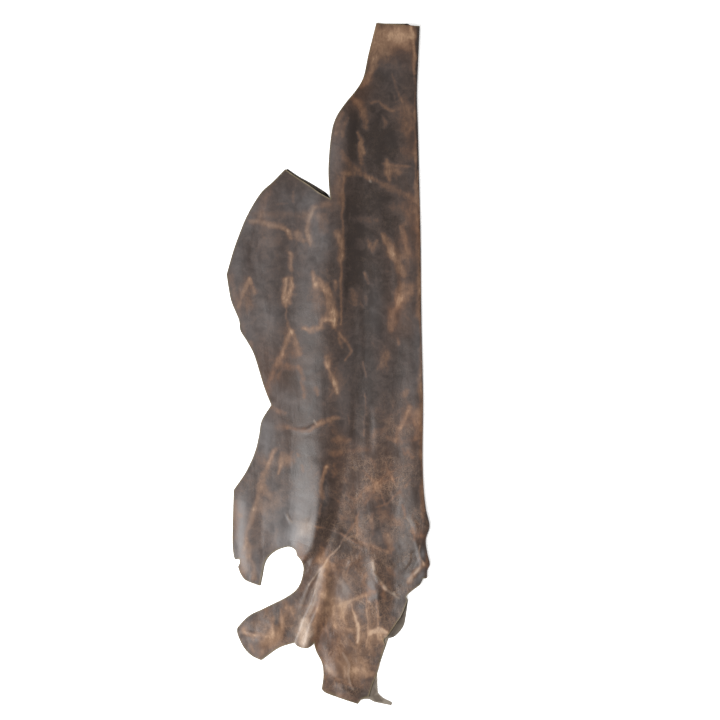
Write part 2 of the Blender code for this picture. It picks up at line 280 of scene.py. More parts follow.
# Rubbed marks, brown to tan where the wax is worn: how strong, how wide, and points along them.
neckMarks = [
    (0.5, 50, [(190, 1366), (250, 1356), (320, 1350)]),
    (0.4, 50, [(196, 1330), (250, 1326), (310, 1318)]),
    (0.3, 60, [(204, 1290), (230, 1256)]),
    (0.9, 13, [(336, 1372), (342, 1340), (346, 1290), (350, 1240), (352, 1180)]),
    (0.42, 40, [(300, 1318), (326, 1282)]),
    (0.5, 34, [(188, 1340), (184, 1290), (182, 1240)]),
    (0.62, 22, [(190, 1229), (166, 1180), (136, 1121)]),
    (0.62, 22, [(92, 1088), (118, 1062), (136, 1033), (148, 1000), (152, 962)]),
    (0.75, 13, [(119, 938), (134, 900), (146, 857)]),
    (0.62, 12, [(126, 898), (130, 860), (134, 816)]),
    (0.4, 14, [(60, 1020), (40, 985), (30, 940)]),
    (0.4, 16, [(84, 1000), (64, 965), (56, 930)]),
    (0.5, 16, [(214, 1060), (240, 1040), (262, 1028)]),
    (0.35, 11, [(220, 1010), (238, 985), (230, 962)]),
    (0.42, 70, [(318, 1030), (322, 960)]),
    (0.4, 36, [(300, 872), (352, 836)]),
    (0.3, 20, [(55, 857), (90, 815), (124, 786)]),
    (0.42, 22, [(150, 766), (190, 744), (238, 721), (300, 690), (360, 660)]),
    (0.42, 18, [(60, 772), (110, 772), (170, 752)]),
    (0.6, 17, [(236, 826), (243, 790), (248, 748)]),
    (0.48, 24, [(262, 788), (286, 776)]),
    (0.4, 10, [(220, 812), (280, 806), (330, 800)]),
    (0.45, 9, [(66, 760), (62, 690), (58, 600), (55, 505), (57, 440)]),
    (0.3, 30, [(48, 750), (44, 660)]),
    (0.3, 30, [(112, 592), (198, 582)]),
    (0.32, 50, [(330, 640), (352, 560)]),
    (0.25, 40, [(230, 640), (330, 620)]),
    (0.32, 8, [(262, 1180), (280, 1110), (300, 1060)]),
    (0.38, 14, [(170, 1060), (204, 1066)]),
]
forelegMarks = [
    (0.3, 22, [(-230, 730), (-257, 660), (-274, 586)]),
    (0.45, 10, [(-145, 696), (-142, 658)]),
    (0.28, 8, [(-203, 648), (-162, 647)]),
    (0.25, 22, [(-322, 608), (-180, 606), (-10, 602)]),
    (0.66, 16, [(-318, 580), (-257, 572), (-196, 559), (-163, 543)]),
    (0.7, 13, [(-166, 548), (-157, 514)]),
    (0.6, 24, [(-128, 536), (-101, 500)]),
    (0.85, 17, [(-60, 634), (-77, 586), (-81, 525), (-71, 484)]),
    (0.3, 40, [(-38, 586), (-10, 540)]),
    (0.3, 20, [(-40, 640), (0, 650)]),
    (0.75, 15, [(-152, 450), (-153, 415), (-150, 383)]),
    (0.85, 17, [(-174, 346), (-176, 290), (-177, 236)]),
    (0.85, 14, [(-152, 349), (-154, 300), (-160, 250)]),
    (0.5, 8, [(-173, 222), (-172, 186)]),
    (0.4, 12, [(-170, 182), (-156, 140)]),
    (0.6, 16, [(-149, 136), (-172, 92), (-189, 44)]),
    (0.45, 18, [(-189, 44), (-214, -10), (-236, -64)]),
    (0.6, 15, [(-147, 136), (-131, 92), (-115, 44)]),
    (0.3, 24, [(-200, 20), (-160, 50), (-120, 40)]),
    (0.4, 13, [(-366, 238), (-336, 310), (-318, 345)]),
    (0.45, 15, [(-318, 350), (-298, 288)]),
    (0.2, 50, [(-330, 330), (-320, 250)]),
    (0.3, 20, [(-396, 360), (-380, 280), (-340, 130)]),
    (0.7, 19, [(-61, 374), (-58, 345), (-52, 316)]),
    (0.4, 18, [(-56, 318), (-34, 322)]),
    (0.5, 13, [(34, 338), (32, 300)]),
    (0.5, 20, [(0, 322), (4, 284)]),
    (0.85, 24, [(-34, 346), (-12, 300), (8, 250), (22, 195), (28, 156)]),
    (0.7, 18, [(24, 176), (0, 178), (-22, 172), (-33, 147), (-74, 136), (-104, 144)]),
    (0.2, 50, [(-50, 300), (-20, 200)]),
    (0.35, 14, [(-314, 88), (-310, 74)]),
]
backMarks = [
    (0.5, 16, [(160, 505), (176, 456), (192, 502)]),
    (0.6, 26, [(226, 524), (246, 480), (262, 450)]),
    (0.6, 24, [(250, 462), (276, 415), (306, 366)]),
    (0.7, 24, [(300, 556), (312, 500), (322, 452)]),
    (0.22, 60, [(262, 452), (330, 420)]),
    (0.6, 22, [(34, 534), (50, 490), (55, 420)]),
    (0.6, 8, [(57, 440), (54, 320), (51, 160)]),
    (0.45, 14, [(143, 369), (163, 329)]),
    (0.45, 16, [(149, 272), (151, 248)]),
    (0.68, 36, [(302, 318), (286, 262)]),
    (0.45, 22, [(335, 318), (322, 262)]),
    (0.74, 24, [(286, 262), (264, 210), (251, 142)]),
    (0.1, 80, [(310, 330), (300, 230)]),
    (0.35, 24, [(96, 300), (110, 250)]),
    (0.5, 12, [(278, 108), (286, 82)]),
    (0.3, 26, [(242, 42), (204, -6)]),
    (0.2, 60, [(196, 80), (222, 0)]),
    (0.5, 8, [(48, 125), (72, 95), (95, 58), (68, 17)]),
    (0.35, 14, [(45, 106), (56, 74)]),
    (0.6, 8, [(143, 6), (148, -22), (156, -51)]),
    (0.65, 24, [(-6, 24), (2, -12)]),
    (0.55, 13, [(2, -12), (16, -52), (24, -80)]),
    (0.9, 18, [(24, -72), (35, -100), (38, -118)]),
    (0.2, 50, [(-6, 20), (40, -70)]),
    (0.55, 18, [(319, -106), (312, -130)]),
]
bellyMarks = [
    (0.4, 20, [(-216, -10), (-170, -6), (-128, -12)]),
    (0.4, 20, [(-236, -64), (-248, -120)]),
    (0.35, 26, [(-196, -40), (-214, -70)]),
    (0.5, 14, [(-121, -3), (-112, -30), (-100, -60)]),
    (0.45, 16, [(-112, -70), (-100, -100), (-96, -136)]),
    (0.4, 16, [(-56, -94), (-40, -122)]),
    (0.5, 16, [(-230, -176), (-206, -190), (-176, -200)]),
    (0.6, 18, [(-169, -261), (-120, -266), (-74, -267), (-33, -240), (34, -213)]),
    (0.3, 20, [(-208, -255), (-169, -261)]),
    (0.4, 18, [(21, -308), (88, -308)]),
    (0.4, 18, [(7, -362), (50, -362)]),
    (0.2, 22, [(122, -173), (197, -186)]),
    (0.4, 8, [(149, -118), (150, -220), (146, -294)]),
    (0.35, 12, [(184, -262), (182, -296)]),
    (0.2, 80, [(250, -220), (340, -205)]),
    (0.6, 18, [(332, -180), (312, -225), (290, -256)]),
    (0.4, 18, [(290, -256), (264, -308)]),
    (0.55, 20, [(352, -205), (362, -260), (356, -298)]),
    (0.3, 20, [(200, -270), (224, -272)]),
    (0.4, 18, [(240, -300), (290, -318), (352, -304)]),
    (0.45, 12, [(298, -344), (312, -364), (322, -354), (338, -378)]),
    (0.45, 12, [(178, -382), (192, -414)]),
    (0.3, 22, [(90, -350), (170, -350)]),
]
hindlegMarks = [
    (0.75, 18, [(-216, -349), (-226, -372), (-238, -400)]),
    (0.5, 16, [(-238, -400), (-256, -440), (-272, -480), (-284, -532), (-300, -585)]),
    (0.5, 16, [(-300, -585), (-311, -620), (-331, -686), (-345, -768)]),
    (0.6, 9, [(-189, -408), (-203, -446)]),
    (0.5, 18, [(-184, -362), (-188, -392)]),
    (0.42, 40, [(-176, -386), (-140, -384)]),
    (0.55, 12, [(-128, -366), (-120, -378)]),
    (0.5, 14, [(-108, -412), (-100, -432)]),
    (0.5, 32, [(-262, -500), (-240, -530)]),
    (0.25, 60, [(-262, -590), (-200, -560)]),
    (0.78, 16, [(-10, -420), (-20, -450), (-26, -491), (-23, -538)]),
    (0.4, 10, [(-30, -560), (-34, -600)]),
    (0.45, 14, [(-362, -612), (-352, -618)]),
    (0.55, 20, [(-334, -716), (-322, -778)]),
    (0.65, 20, [(-318, -782), (-303, -820), (-300, -866)]),
    (0.5, 26, [(-346, -796), (-340, -854)]),
    (0.35, 18, [(-376, -560), (-378, -700)]),
    (0.3, 10, [(-208, -672), (-212, -720)]),
    (0.4, 26, [(-118, -716), (-108, -780)]),
    (0.3, 30, [(-300, -352), (-262, -402)]),
]
flankMarks = [
    (0.36, 8, [(322, -402), (250, -440), (190, -490), (140, -520), (104, -560)]),
    (0.36, 8, [(296, -452), (226, -480), (180, -520), (150, -566)]),
    (0.45, 8, [(330, -470), (290, -520), (240, -560), (190, -580)]),
    (0.45, 8, [(236, -398), (246, -446), (280, -492), (300, -540)]),
    (0.42, 8, [(140, -430), (176, -470), (214, -520), (226, -562)]),
    (0.12, 100, [(300, -420), (230, -470), (160, -540)]),
    (0.5, 7, [(-6, -796), (40, -745), (60, -710), (104, -650), (122, -606)]),
    (0.45, 7, [(115, -702), (116, -640), (124, -596)]),
    (0.5, 6, [(-52, -654), (0, -672), (60, -698), (118, -728)]),
    (0.3, 26, [(46, -560), (70, -600), (60, -640)]),
    (0.45, 10, [(175, -606), (178, -694)]),
    (0.7, 26, [(238, -700), (257, -750)]),
    (0.5, 14, [(300, -576), (312, -614)]),
    (0.45, 28, [(254, -834), (266, -850)]),
    (0.4, 30, [(210, -600), (300, -650)]),
    (0.5, 12, [(325, -676), (352, -690), (382, -698)]),
    (0.5, 12, [(338, -664), (348, -708)]),
    (0.4, 12, [(366, -650), (378, -690)]),
    (0.45, 10, [(128, -720), (180, -742), (240, -760)]),
    (0.75, 22, [(340, -860), (326, -884)]),
    (0.6, 16, [(384, -814), (362, -834), (340, -858)]),
    (0.6, 8, [(368, -732), (366, -755), (376, -788), (385, -812)]),
    (0.4, 14, [(352, -640), (362, -690), (372, -715)]),
]
endMarks = [
    (0.5, 9, [(158, -846), (141, -880), (160, -905), (172, -925)]),
    (0.4, 30, [(20, -990), (48, -981)]),
    (0.75, 14, [(48, -981), (71, -970), (117, -952), (150, -938), (186, -926)]),
    (0.3, 30, [(-60, -1000), (-10, -992)]),
    (0.75, 6, [(158, -942), (159, -1040), (157, -1144)]),
    (0.5, 5, [(168, -964), (169, -1060), (166, -1179)]),
    (0.7, 8, [(98, -978), (108, -1012), (115, -1040), (121, -1074), (119, -1129)]),
    (0.6, 6, [(198, -954), (201, -1000), (202, -1056)]),
    (0.5, 14, [(71, -970), (60, -1000), (59, -1028), (77, -1051)]),
    (0.42, 12, [(22, -1005), (30, -1057)]),
    (0.5, 8, [(-7, -1030), (-6, -1109)]),
    (0.6, 12, [(210, -886), (236, -914)]),
    (0.75, 32, [(-23, -778), (-20, -808)]),
    (0.5, 20, [(-42, -790), (-8, -808), (16, -814)]),
    (0.5, 10, [(-25, -744), (-22, -768)]),
    (0.5, 26, [(-14, -850), (-14, -934)]),
    (0.35, 40, [(24, -960), (40, -1010)]),
    (0.45, 22, [(-28, -935), (-45, -1003), (-58, -1086), (-62, -1121)]),
    (0.45, 8, [(2, -790), (-18, -812), (-30, -850)]),
    (1.0, 17, [(172, -1088), (200, -1076), (236, -1086)]),
    (0.4, 36, [(190, -1106), (228, -1108)]),
    (0.5, 14, [(172, -1150), (186, -1176)]),
    (0.5, 40, [(117, -1237), (140, -1250), (164, -1262)]),
    (0.5, 44, [(-270, -1168), (-232, -1120), (-200, -1080)]),
    (0.55, 18, [(-224, -1036), (-231, -1104)]),
    (0.5, 16, [(-189, -996), (-185, -1064)]),
    (0.45, 18, [(-173, -962), (-167, -980)]),
    (0.5, 18, [(-149, -990), (-141, -1012)]),
    (0.55, 12, [(-345, -1086), (-300, -1096), (-250, -1104)]),
    (0.42, 20, [(-314, -1146), (-306, -1164)]),
    (0.45, 16, [(-342, -1074), (-338, -1088)]),
    (0.4, 22, [(46, -1344), (90, -1356), (134, -1368)]),
    (0.4, 24, [(30, -1060), (90, -1080)]),
    (0.2, 24, [(20, -1130), (60, -1180)]),
    (0.3, 22, [(120, -1180), (150, -1210)]),
]
rollMarks = [
    (0.6, 9, [(351, 1240), (352, 1040), (353, 900), (357, 660)]),
    (0.4, 14, [(397, -700), (402, -770), (406, -830), (400, -862)]),
    (0.36, 12, [(356, 640), (362, 420), (364, 200)]),
    (0.3, 12, [(368, 60), (372, -160), (372, -380)]),
    (0.7, 9, [(364, 780), (369, 600), (372, 450), (375, 200), (381, -150), (380, -400), (392, -590)]),
    (0.5, 14, [(376, -480), (382, -560), (384, -640)]),
]
rubMarks = [
    *neckMarks, *forelegMarks, *backMarks, *bellyMarks, *hindlegMarks, *flankMarks, *endMarks, *rollMarks,
]

# Pale scratches and worn crests with painted highlights on fold crests and sheen spots, and darker dye with
# painted shade in creases, hollows and on shaded sides.
paleScratchesAndHighlights = [
    (0.4, 6, [(166, 744), (170, 736)]),
    (0.4, 6, [(-62, -230), (-52, -245)]),
    (0.25, 6, [(-169, -606), (-148, -646)]),
    (0.85, 40, [(-96, -1040), (-94, -1080), (-96, -1122)]),
    (0.34, 12, [(-22, -826), (-34, -880), (-54, -955), (-90, -1030)]),
    (0.5, 4, [(48, -735), (0, -790), (-30, -824), (-60, -868), (-78, -893)]),
    (0.2, 7, [(-78, -893), (-103, -958), (-112, -985)]),
    (0.2, 7, [(-24, -820), (-48, -890), (-88, -986)]),
    (0.3, 46, [(-92, -655), (-112, -680)]),
    (0.28, 8, [(178, -796), (184, -824), (188, -854), (210, -883), (234, -912), (263, -935), (292, -952)]),
    (0.65, 10, [(178, -806), (186, -830)]),
    (0.6, 9, [(229, -902), (234, -914)]),
    (0.5, 8, [(264, -926), (268, -936)]),
    (0.3, 7, [(368, -732), (366, -755), (376, -788), (385, -812)]),
    (0.55, 9, [(364, -830), (354, -844)]),
    (0.3, 12, [(336, -864), (326, -880)]),
    (0.2, 24, [(56, -890), (72, -930)]),
    (0.3, 8, [(60, -1173), (88, -1219), (83, -1266), (100, -1318)]),
    (0.3, 14, [(176, -1086), (204, -1074), (234, -1086)]),
    (0.25, 7, [(112, -1020), (119, -1070), (119, -1124)]),
    (0.7, 6, [(2, 677), (-39, 702), (-79, 732), (-129, 764), (-170, 790)]),
    (0.2, 8, [(66, -1225), (68, -1272)]),
    (0.3, 20, [(-4, -1226), (5, -1244)]),
    (0.35, 8, [(226, -1100), (232, -1108)]),
]
# Darker dye, and painted shade in creases, hollows, under folds, on the shaded sides of ridges and along
# the roll.
shadeAndDarkDyeMarks = [
    (0.6, 26, [(-168, -38), (-128, -84)]),
    (0.5, 30, [(-200, -1000), (-216, -1044)]),
    (0.4, 28, [(-168, -1084), (-162, -1096)]),
    (1.0, 15, [(-106, -828), (-84, -800)]),
    (0.35, 20, [(-88, -806), (-58, -752)]),
    (0.6, 9, [(376, -884), (352, -876), (346, -858)]),
    (0.5, 9, [(352, -760), (354, -790), (346, -822)]),
    (0.5, 60, [(212, -800), (280, -800), (338, -852)]),
    (0.5, 12, [(205, -930), (206, -987), (212, -1016)]),
    (0.5, 16, [(-66, -1096), (-64, -1142)]),
    (0.6, 18, [(-16, -1254), (30, -1289), (77, -1306), (112, -1330), (164, -1341)]),
    (0.4, 50, [(10, -1330), (70, -1350), (140, -1350)]),
    (0.4, 50, [(106, 1010), (104, 920), (98, 850)]),
    (0.35, 40, [(98, 660), (100, 480), (96, 320)]),
    (0.4, 44, [(-6, -460), (-10, -540), (-12, -650)]),
    (0.25, 120, [(210, 960), (230, 880)]),
    (0.25, 120, [(200, 660), (220, 560)]),
    (0.3, 80, [(160, 440), (170, 150)]),
    (0.5, 60, [(0, -690), (90, -740)]),
    (0.7, 36, [(-2, -676), (22, -736)]),
    (1.0, 22, [(366, 1372), (364, 1250), (363, 1090), (365, 950), (370, 820)]),
    (0.4, 10, [(372, 780), (377, 500), (380, 200)]),
]

shadeUnderEdgeMarks = [   # painted shade on the lower layer's flesh in the gap under the upper layer's cut edge, and a little darker on the tail piece
    (1.0, 60, [(26, 660), (-37, 712), (-79, 738), (-129, 768), (-166, 798)]),
    (1.0, 40, [(345, 1376), (300, 1382), (200, 1386)]),
    (0.62, 60, [(322, -970), (304, -1050), (262, -1104)]),
    (0.22, 60, [(200, -1300), (204, -1360), (258, -1380)]),
]

# Broad wear of the leather with painted light and shade, lighter towards the lower left and darker where
# slopes would shine, added to the marks, at x, y, over a reach in x and y.
lightAndToneClouds = [
    (0.31, 262, 1347, 120, 58), (0.05, 260, 1130, 60, 110), (0.06, 210, 1225, 60, 40),
    (0.06, 320, 1010, 60, 60), (0.19, 36, 850, 38, 170), (0.07, -210, 560, 190, 190),
    (0.05, 140, 240, 60, 130), (0.05, 230, 180, 50, 90), (-0.03, -106, -200, 44, 150),
    (-0.04, -100, -400, 44, 90), (0.18, 34, -940, 46, 110), (-0.05, 165, -170, 40, 50),
    (-0.04, 150, -90, 50, 120), (-0.12, 316, -800, 34, 120), (0.08, 116, -800, 30, 50),
    (0.06, 350, 420, 26, 200), (0.05, -280, -800, 50, 60), (-0.06, 290, -370, 50, 60),
    (-0.06, 180, -640, 60, 90), (-0.06, 178, -900, 40, 50), (-0.13, 314, -640, 44, 230),
    (0.17, 50, -1250, 50, 50), (-0.08, 200, -1260, 40, 80), (0.05, -270, 120, 110, 210),
    (-0.05, -104, -10, 44, 110), (-0.07, -106, -270, 44, 90), (0.05, 74, 60, 44, 330),
    (-0.2, 64, -590, 32, 70), (-0.05, 314, -460, 40, 80), (-0.05, -108, -430, 36, 120),
    (-0.1, -8, -1196, 30, 60), (0.05, 40, -340, 34, 140), (0.06, 296, 500, 36, 50),
    (0.06, 286, 200, 30, 60), (0.05, 220, 1050, 30, 60), (0.08, 332, 1330, 22, 60),
    (0.05, -50, 640, 60, 70), (0.05, -388, 400, 36, 160), (0.06, 130, 1080, 60, 40),
    (0.03, -20, 250, 90, 190), (-0.03, 240, 330, 110, 200), (-0.05, 200, -60, 130, 150),
    (0.02, 310, -250, 90, 80), (0.04, -60, -250, 180, 110), (0.04, 150, -480, 150, 130),
    (-0.05, 305, -500, 50, 170), (-0.05, 300, -780, 50, 80), (0.07, 110, -730, 160, 110),
    (0.16, 110, -1010, 220, 200), (0.10, 25, -920, 40, 90), (0.21, -220, -1080, 170, 110),
    (0.25, 60, -1240, 150, 120), (0.12, -260, -640, 140, 220), (0.06, -225, -740, 70, 60),
]
# Grey wax bloom and painted sheen where slopes would catch the window's light: amount, x, y, and the reach
# in x and y.
greySheenClouds = [
    (0.25, -80, 320, 50, 200), (0.3, -90, 680, 60, 50), (0.4, -170, 690, 90, 60),
    (0.65, -54, 540, 46, 150), (0.35, -100, -560, 50, 130), (0.4, -190, -600, 80, 120),
    (1.0, -100, -680, 44, 44), (0.6, -170, -725, 70, 50), (0.6, -352, -760, 40, 90),
    (0.9, -286, -830, 44, 60), (0.4, -290, -620, 110, 150), (0.9, -250, -300, 50, 80),
    (0.3, 180, -690, 50, 60), (1.0, 60, -925, 30, 56), (1.0, 366, -790, 12, 24),
    (0.9, 370, -858, 16, 16), (0.4, 117, -1015, 26, 50), (0.3, -230, 400, 110, 130),
    (0.3, -250, 150, 60, 110), (0.12, 110, 60, 60, 160), (0.3, 62, -130, 34, 110),
    (0.14, 240, -120, 60, 200), (0.25, -30, -540, 14, 90), (0.5, -160, -730, 36, 40),
    (0.25, 240, 1180, 60, 90), (0.2, 190, 220, 70, 110), (0.25, 236, -680, 36, 120),
    (0.22, -190, -400, 50, 110), (0.12, -170, -220, 40, 80), (0.3, -330, -600, 40, 80),
    (0.3, -180, 590, 150, 100), (0.5, -310, 600, 40, 90), (0.5, -212, -140, 50, 60),
    (0.5, -370, 400, 40, 180), (0.5, -330, 150, 40, 90), (0.3, -215, 220, 40, 50),
    (0.4, -330, 620, 50, 70), (0.7, 342, 40, 22, 150), (0.2, 362, 740, 20, 140),
    (0.8, 28, 860, 34, 150), (0.25, -320, -1110, 60, 60),
]
warmClouds = [   # where the red brown of the dye shows
    (0.85, 160, -480, 150, 190), (0.6, 70, -750, 110, 110), (0.9, -84, -890, 46, 90),
    (0.35, 250, -830, 100, 100), (0.35, 150, -960, 70, 60), (1.0, -2, -1160, 56, 70),
    (0.8, 50, -1345, 120, 50), (0.8, -200, -80, 90, 120), (0.5, 330, -260, 60, 120),
    (0.8, 284, 200, 60, 110), (0.6, 96, 1090, 60, 70), (0.7, 340, 540, 40, 150),
    (0.15, 260, 1370, 120, 30), (0.5, -240, -250, 40, 120), (0.4, -130, 20, 60, 40),
    (0.6, -110, -290, 60, 60), (1.0, -108, -832, 36, 50), (0.6, -60, -1090, 50, 70),
    (0.6, -24, -1210, 40, 100), (0.5, 290, -420, 60, 110), (0.4, 310, 1260, 40, 100),
    (0.5, 310, 500, 50, 50), (0.4, -260, 660, 60, 60), (0.5, 330, 900, 40, 90),
    (0.4, 120, 1100, 60, 40), (0.4, -380, -640, 20, 120), (0.6, 180, -900, 50, 60),
    (0.6, 330, -720, 50, 60), (0.5, 300, -520, 40, 90), (0.8, 404, -780, 16, 120),
    (0.7, -290, -60, 60, 160), (0.5, 366, 1200, 14, 260), (0.3, 40, 780, 60, 160),
]
fibreClouds = [
    (0.9, 220, -480, 180, 150), (0.8, 150, -720, 200, 120), (1.0, 130, -1000, 190, 170),
    (0.7, -200, -1080, 150, 90), (0.7, 60, -1260, 120, 110), (0.3, -220, -560, 120, 200),
    (0.3, 250, 1330, 120, 80), (0.4, 300, -250, 110, 90),
]

noiseField = {
    "cells": 700,       # cells each way, enough for the smallest size over the whole hide
    "shift": 1700.0,    # keeps every place in the field
}
# Uneven marks and clouds, as layers of soft noise: height, size and seed.
strokeLook = {
    "raggedX": [(5, 46, 11), (1.6, 15, 12)],
    "raggedY": [(5, 46, 13), (1.6, 15, 14)],
    "strength": 0.9,
    "patchy": [(0.22, 22, 15), (0.12, 9, 16)],
    "uneven": [(0.34, 34, 17), (0.2, 14, 18)],
    "coreWidth": 1.22,
    "endWidth": 0.62,
    "haloShare": 0.14,
    "strayShare": 0.6,
}
cloudLook = {
    "warpX": [(35, 130, 21)],
    "warpY": [(35, 130, 22)],
    "leastWarm": 0.08,
}
# Stray scratches: seed, how many, range of x, range of y, lengths, width and strengths.
strayPatches = [
    (31, 150, (-380, 380), (-480, 1360), (14, 46), 6, (0.12, 0.34)),
    (32, 420, (-60, 360), (-1340, -400), (14, 60), 8, (0.10, 0.42)),
    (33, 40, (-370, -60), (-1180, -960), (18, 60), 5, (0.14, 0.36)),
]


def columnAt(rows, y, column):  # smooth value of one column of the roll's table
    rows = np.array(rows, float)
    rowY = rows[:, 0]
    values = rows[:, column]
    before = np.maximum(np.arange(len(rows)) - 1, 0)
    after = np.minimum(np.arange(len(rows)) + 1, len(rows) - 1)
    slopes = (values[after] - values[before]) / (rowY[after] - rowY[before])
    y = np.clip(y, rowY[-1], rowY[0])
    upper = np.clip(np.searchsorted(-rowY, -y, side="left") - 1, 0, len(rows) - 2)
    span = rowY[upper + 1] - rowY[upper]
    share = (y - rowY[upper]) / span
    square = share ** 2
    cube = share ** 3
    return (
        (2 * cube - 3 * square + 1) * values[upper]
        + (cube - 2 * square + share) * span * slopes[upper]
        + (3 * square - 2 * cube) * values[upper + 1]
        + (cube - square) * span * slopes[upper + 1]
    )


def rollAt(y):  # where the flat layer meets the roll, how far the roll bulges, half its height
    thickness = hideShape["thickness"]
    reach = columnAt(rollTable, y, 2)
    halfHeight = (columnAt(rollTable, y, 3) - thickness) / 2
    return columnAt(rollTable, y, 1) - thickness / 2 - reach, reach, halfHeight


def softNoise(x, y, cellSize, seed):  # smooth noise from -1 to 1, in cells of a size in mm
    count = noiseField["cells"]
    lattice = np.random.default_rng(seed).uniform(-1.0, 1.0, (count, count))
    u = (x + noiseField["shift"]) / cellSize
    v = (y + noiseField["shift"]) / cellSize
    i = u.astype(int)
    j = v.astype(int)
    u = u - i
    v = v - j
    u = u * u * (3 - 2 * u)
    v = v * v * (3 - 2 * v)
    low = lattice[i, j] * (1 - u) + lattice[i + 1, j] * u
    high = lattice[i, j + 1] * (1 - u) + lattice[i + 1, j + 1] * u
    return low * (1 - v) + high * v


def noiseSum(layers, x, y):
    return sum(height * softNoise(x, y, size, seed) for height, size, seed in layers)


def nearestOnLine(points, x, y):  # distance, share of the segment, its index, and whether to the right
    best = np.full(x.shape, np.inf)
    bestShare = np.zeros(x.shape)
    bestIndex = np.zeros(x.shape, int)
    toRight = np.zeros(x.shape, bool)
    for index in range(len(points) - 1):
        startX, startY = points[index][:2]
        runX = points[index + 1][0] - startX
        runY = points[index + 1][1] - startY
        offsetX = x - startX
        offsetY = y - startY
        share = np.clip((offsetX * runX + offsetY * runY) / (runX ** 2 + runY ** 2), 0.0, 1.0)
        distance = np.hypot(offsetX - runX * share, offsetY - runY * share)
        closer = distance < best
        best[closer] = distance[closer]
        bestShare[closer] = share[closer]
        bestIndex[closer] = index
        toRight[closer] = (runX * offsetY - runY * offsetX > 0)[closer]
    return best, bestShare, bestIndex, toRight


def ridgeHeight(rows, x, y):
    distance, share, index, toRight = nearestOnLine(rows, x, y)
    table = np.array(rows, float)
    start = table[index]
    end = table[index + 1]
    height = start[:, 2] + (end[:, 2] - start[:, 2]) * share
    side = np.where(toRight, 4, 3)
    every = np.arange(len(x))
    width = start[every, side] + (end[every, side] - start[every, side]) * share
    return height * 0.5 * (1 + np.cos(np.pi * np.minimum(distance / width, 1.0)))


def foldHeight(x, y):  # folds and soft waves of the upper layer, above where it would lie flat
    ridges = [*mainRidges.values(), *smallCreases.values()]
    creased = (hideShape["creasedFrom"] - y) / (hideShape["creasedFrom"] - hideShape["creasedBy"])
    waves = noiseSum(hideShape["wave"], x, y)
    waves += noiseSum(hideShape["endWave"], x, y) * np.clip(creased, 0, 1)
    return sum(ridgeHeight(rows, x, y) for rows in ridges) + waves


def foldedPlaces(across, y):  # the middle of the leather in space, from its place on the flat pattern
    halfWidth = hideShape["rollHalfWidth"]
    thickness = hideShape["thickness"]
    lowerMiddle = thickness / 2
    upperMiddle = lowerMiddle + thickness + hideShape["layerGap"]
    landing, reach, halfHeight = rollAt(y)
    inRoll = np.abs(across) <= halfWidth
    turn = np.clip(across / halfWidth, -1.0, 1.0) * np.pi / 2
    x = np.where(inRoll, landing + reach * np.cos(turn), landing - (np.abs(across) - halfWidth))
    z = np.where(inRoll, lowerMiddle + halfHeight * (1 + np.sin(turn)), lowerMiddle)
    upper = across > halfWidth
    fromRoll = landing[upper] - x[upper]
    settled = foldHeight(x[upper], y[upper]) * np.clip(fromRoll / hideShape["rollFoot"], 0.0, 1.0)
    lowest = lowerMiddle + thickness + hideShape["leastGap"]
    stillRaised = 0.5 * (1 + np.cos(np.pi * np.clip(fromRoll / hideShape["rollLanding"], 0.0, 1.0)))
    rollTop = lowerMiddle + 2 * halfHeight[upper]
    z[upper] = np.maximum(upperMiddle + settled, lowest) + (rollTop - upperMiddle) * stillRaised
    return np.stack([x, y, z], axis=1)


def grainNormals(across, y):  # out of the grain side
    step = 0.4
    alongAcross = foldedPlaces(across + step, y) - foldedPlaces(across - step, y)
    alongY = foldedPlaces(across, y + step) - foldedPlaces(across, y - step)
    normals = np.cross(alongY, alongAcross)
    return normals / np.linalg.norm(normals, axis=1)[:, None]


def smoothStretch(points, step):
    points = np.array(points, float)
    curve = []
    for index in range(len(points) - 1):
        start = points[index]
        end = points[index + 1]
        before = points[index - 1] if index > 0 else 2 * start - end
        after = points[index + 2] if index + 2 < len(points) else 2 * end - start
        pieces = max(1, round(np.linalg.norm(end - start) / step))
        t = (np.arange(pieces) / pieces)[:, None]
        curve.append(0.5 * (
            2 * start
            + (end - before) * t
            + (2 * before - 5 * start + 4 * end - after) * t ** 2
            + (3 * start - before - 3 * end + after) * t ** 3
        ))
    return np.concatenate(curve)


def cutEdge(stretches):
    curve = [smoothStretch(stretch, hideShape["edgeStep"]) for stretch in stretches]
    curve.append(np.array([stretches[-1][-1]], float))
    return np.concatenate(curve)


def shifted(points):
    return [(x + hideShape["lowerInset"], y) for x, y in points]


def flatPattern():  # outline of the opened hide, the upper layer on the positive side of the backbone
    upper = cutEdge(
        [narrowEnd, neckEdge, forelegCut] + leftEdge
        + [tongueFoot, tongueStep, tongueSide, sideTear, sideCut, foldEndCut]
    )
    neck = lowerNarrowEnd[-1:] + shifted(neckEdge[1:-1]) + lowerForelegCut[:1]
    hidden = [shifted(stretch) for stretch in leftEdge]
    hidden[0] = lowerForelegCut[-1:] + hidden[0][1:]
    hidden[-1] = hidden[-1][:-1] + lowerTongueFoot[:1]
    lowerEnd = [lowerTongueFoot, lowerShank, lowerShankTip, lowerSide, lowerSideCut]
    lowerEnd.append(lowerSideCut[-1:] + foldEndCut[1:])
    lower = cutEdge([lowerNarrowEnd, neck, lowerForelegCut] + hidden + lowerEnd)
    halfWidth = hideShape["rollHalfWidth"]
    upperAcross = halfWidth + rollAt(upper[:, 1])[0] - upper[:, 0]
    lowerAcross = -(halfWidth + rollAt(lower[:, 1])[0] - lower[:, 0])
    rollAcross = np.linspace(-halfWidth, halfWidth, 9)
    bow = hideShape["rollEndBow"] * (1 - (rollAcross / halfWidth) ** 2)
    foldTop = np.stack([rollAcross, rollTable[0][0] + bow], axis=1)
    foldBottom = np.stack([rollAcross, rollTable[-1][0] - bow], axis=1)[::-1]
    return np.concatenate([
        foldTop,
        np.stack([upperAcross, upper[:, 1]], axis=1),
        foldBottom,
        np.stack([lowerAcross, lower[:, 1]], axis=1)[::-1],
    ])


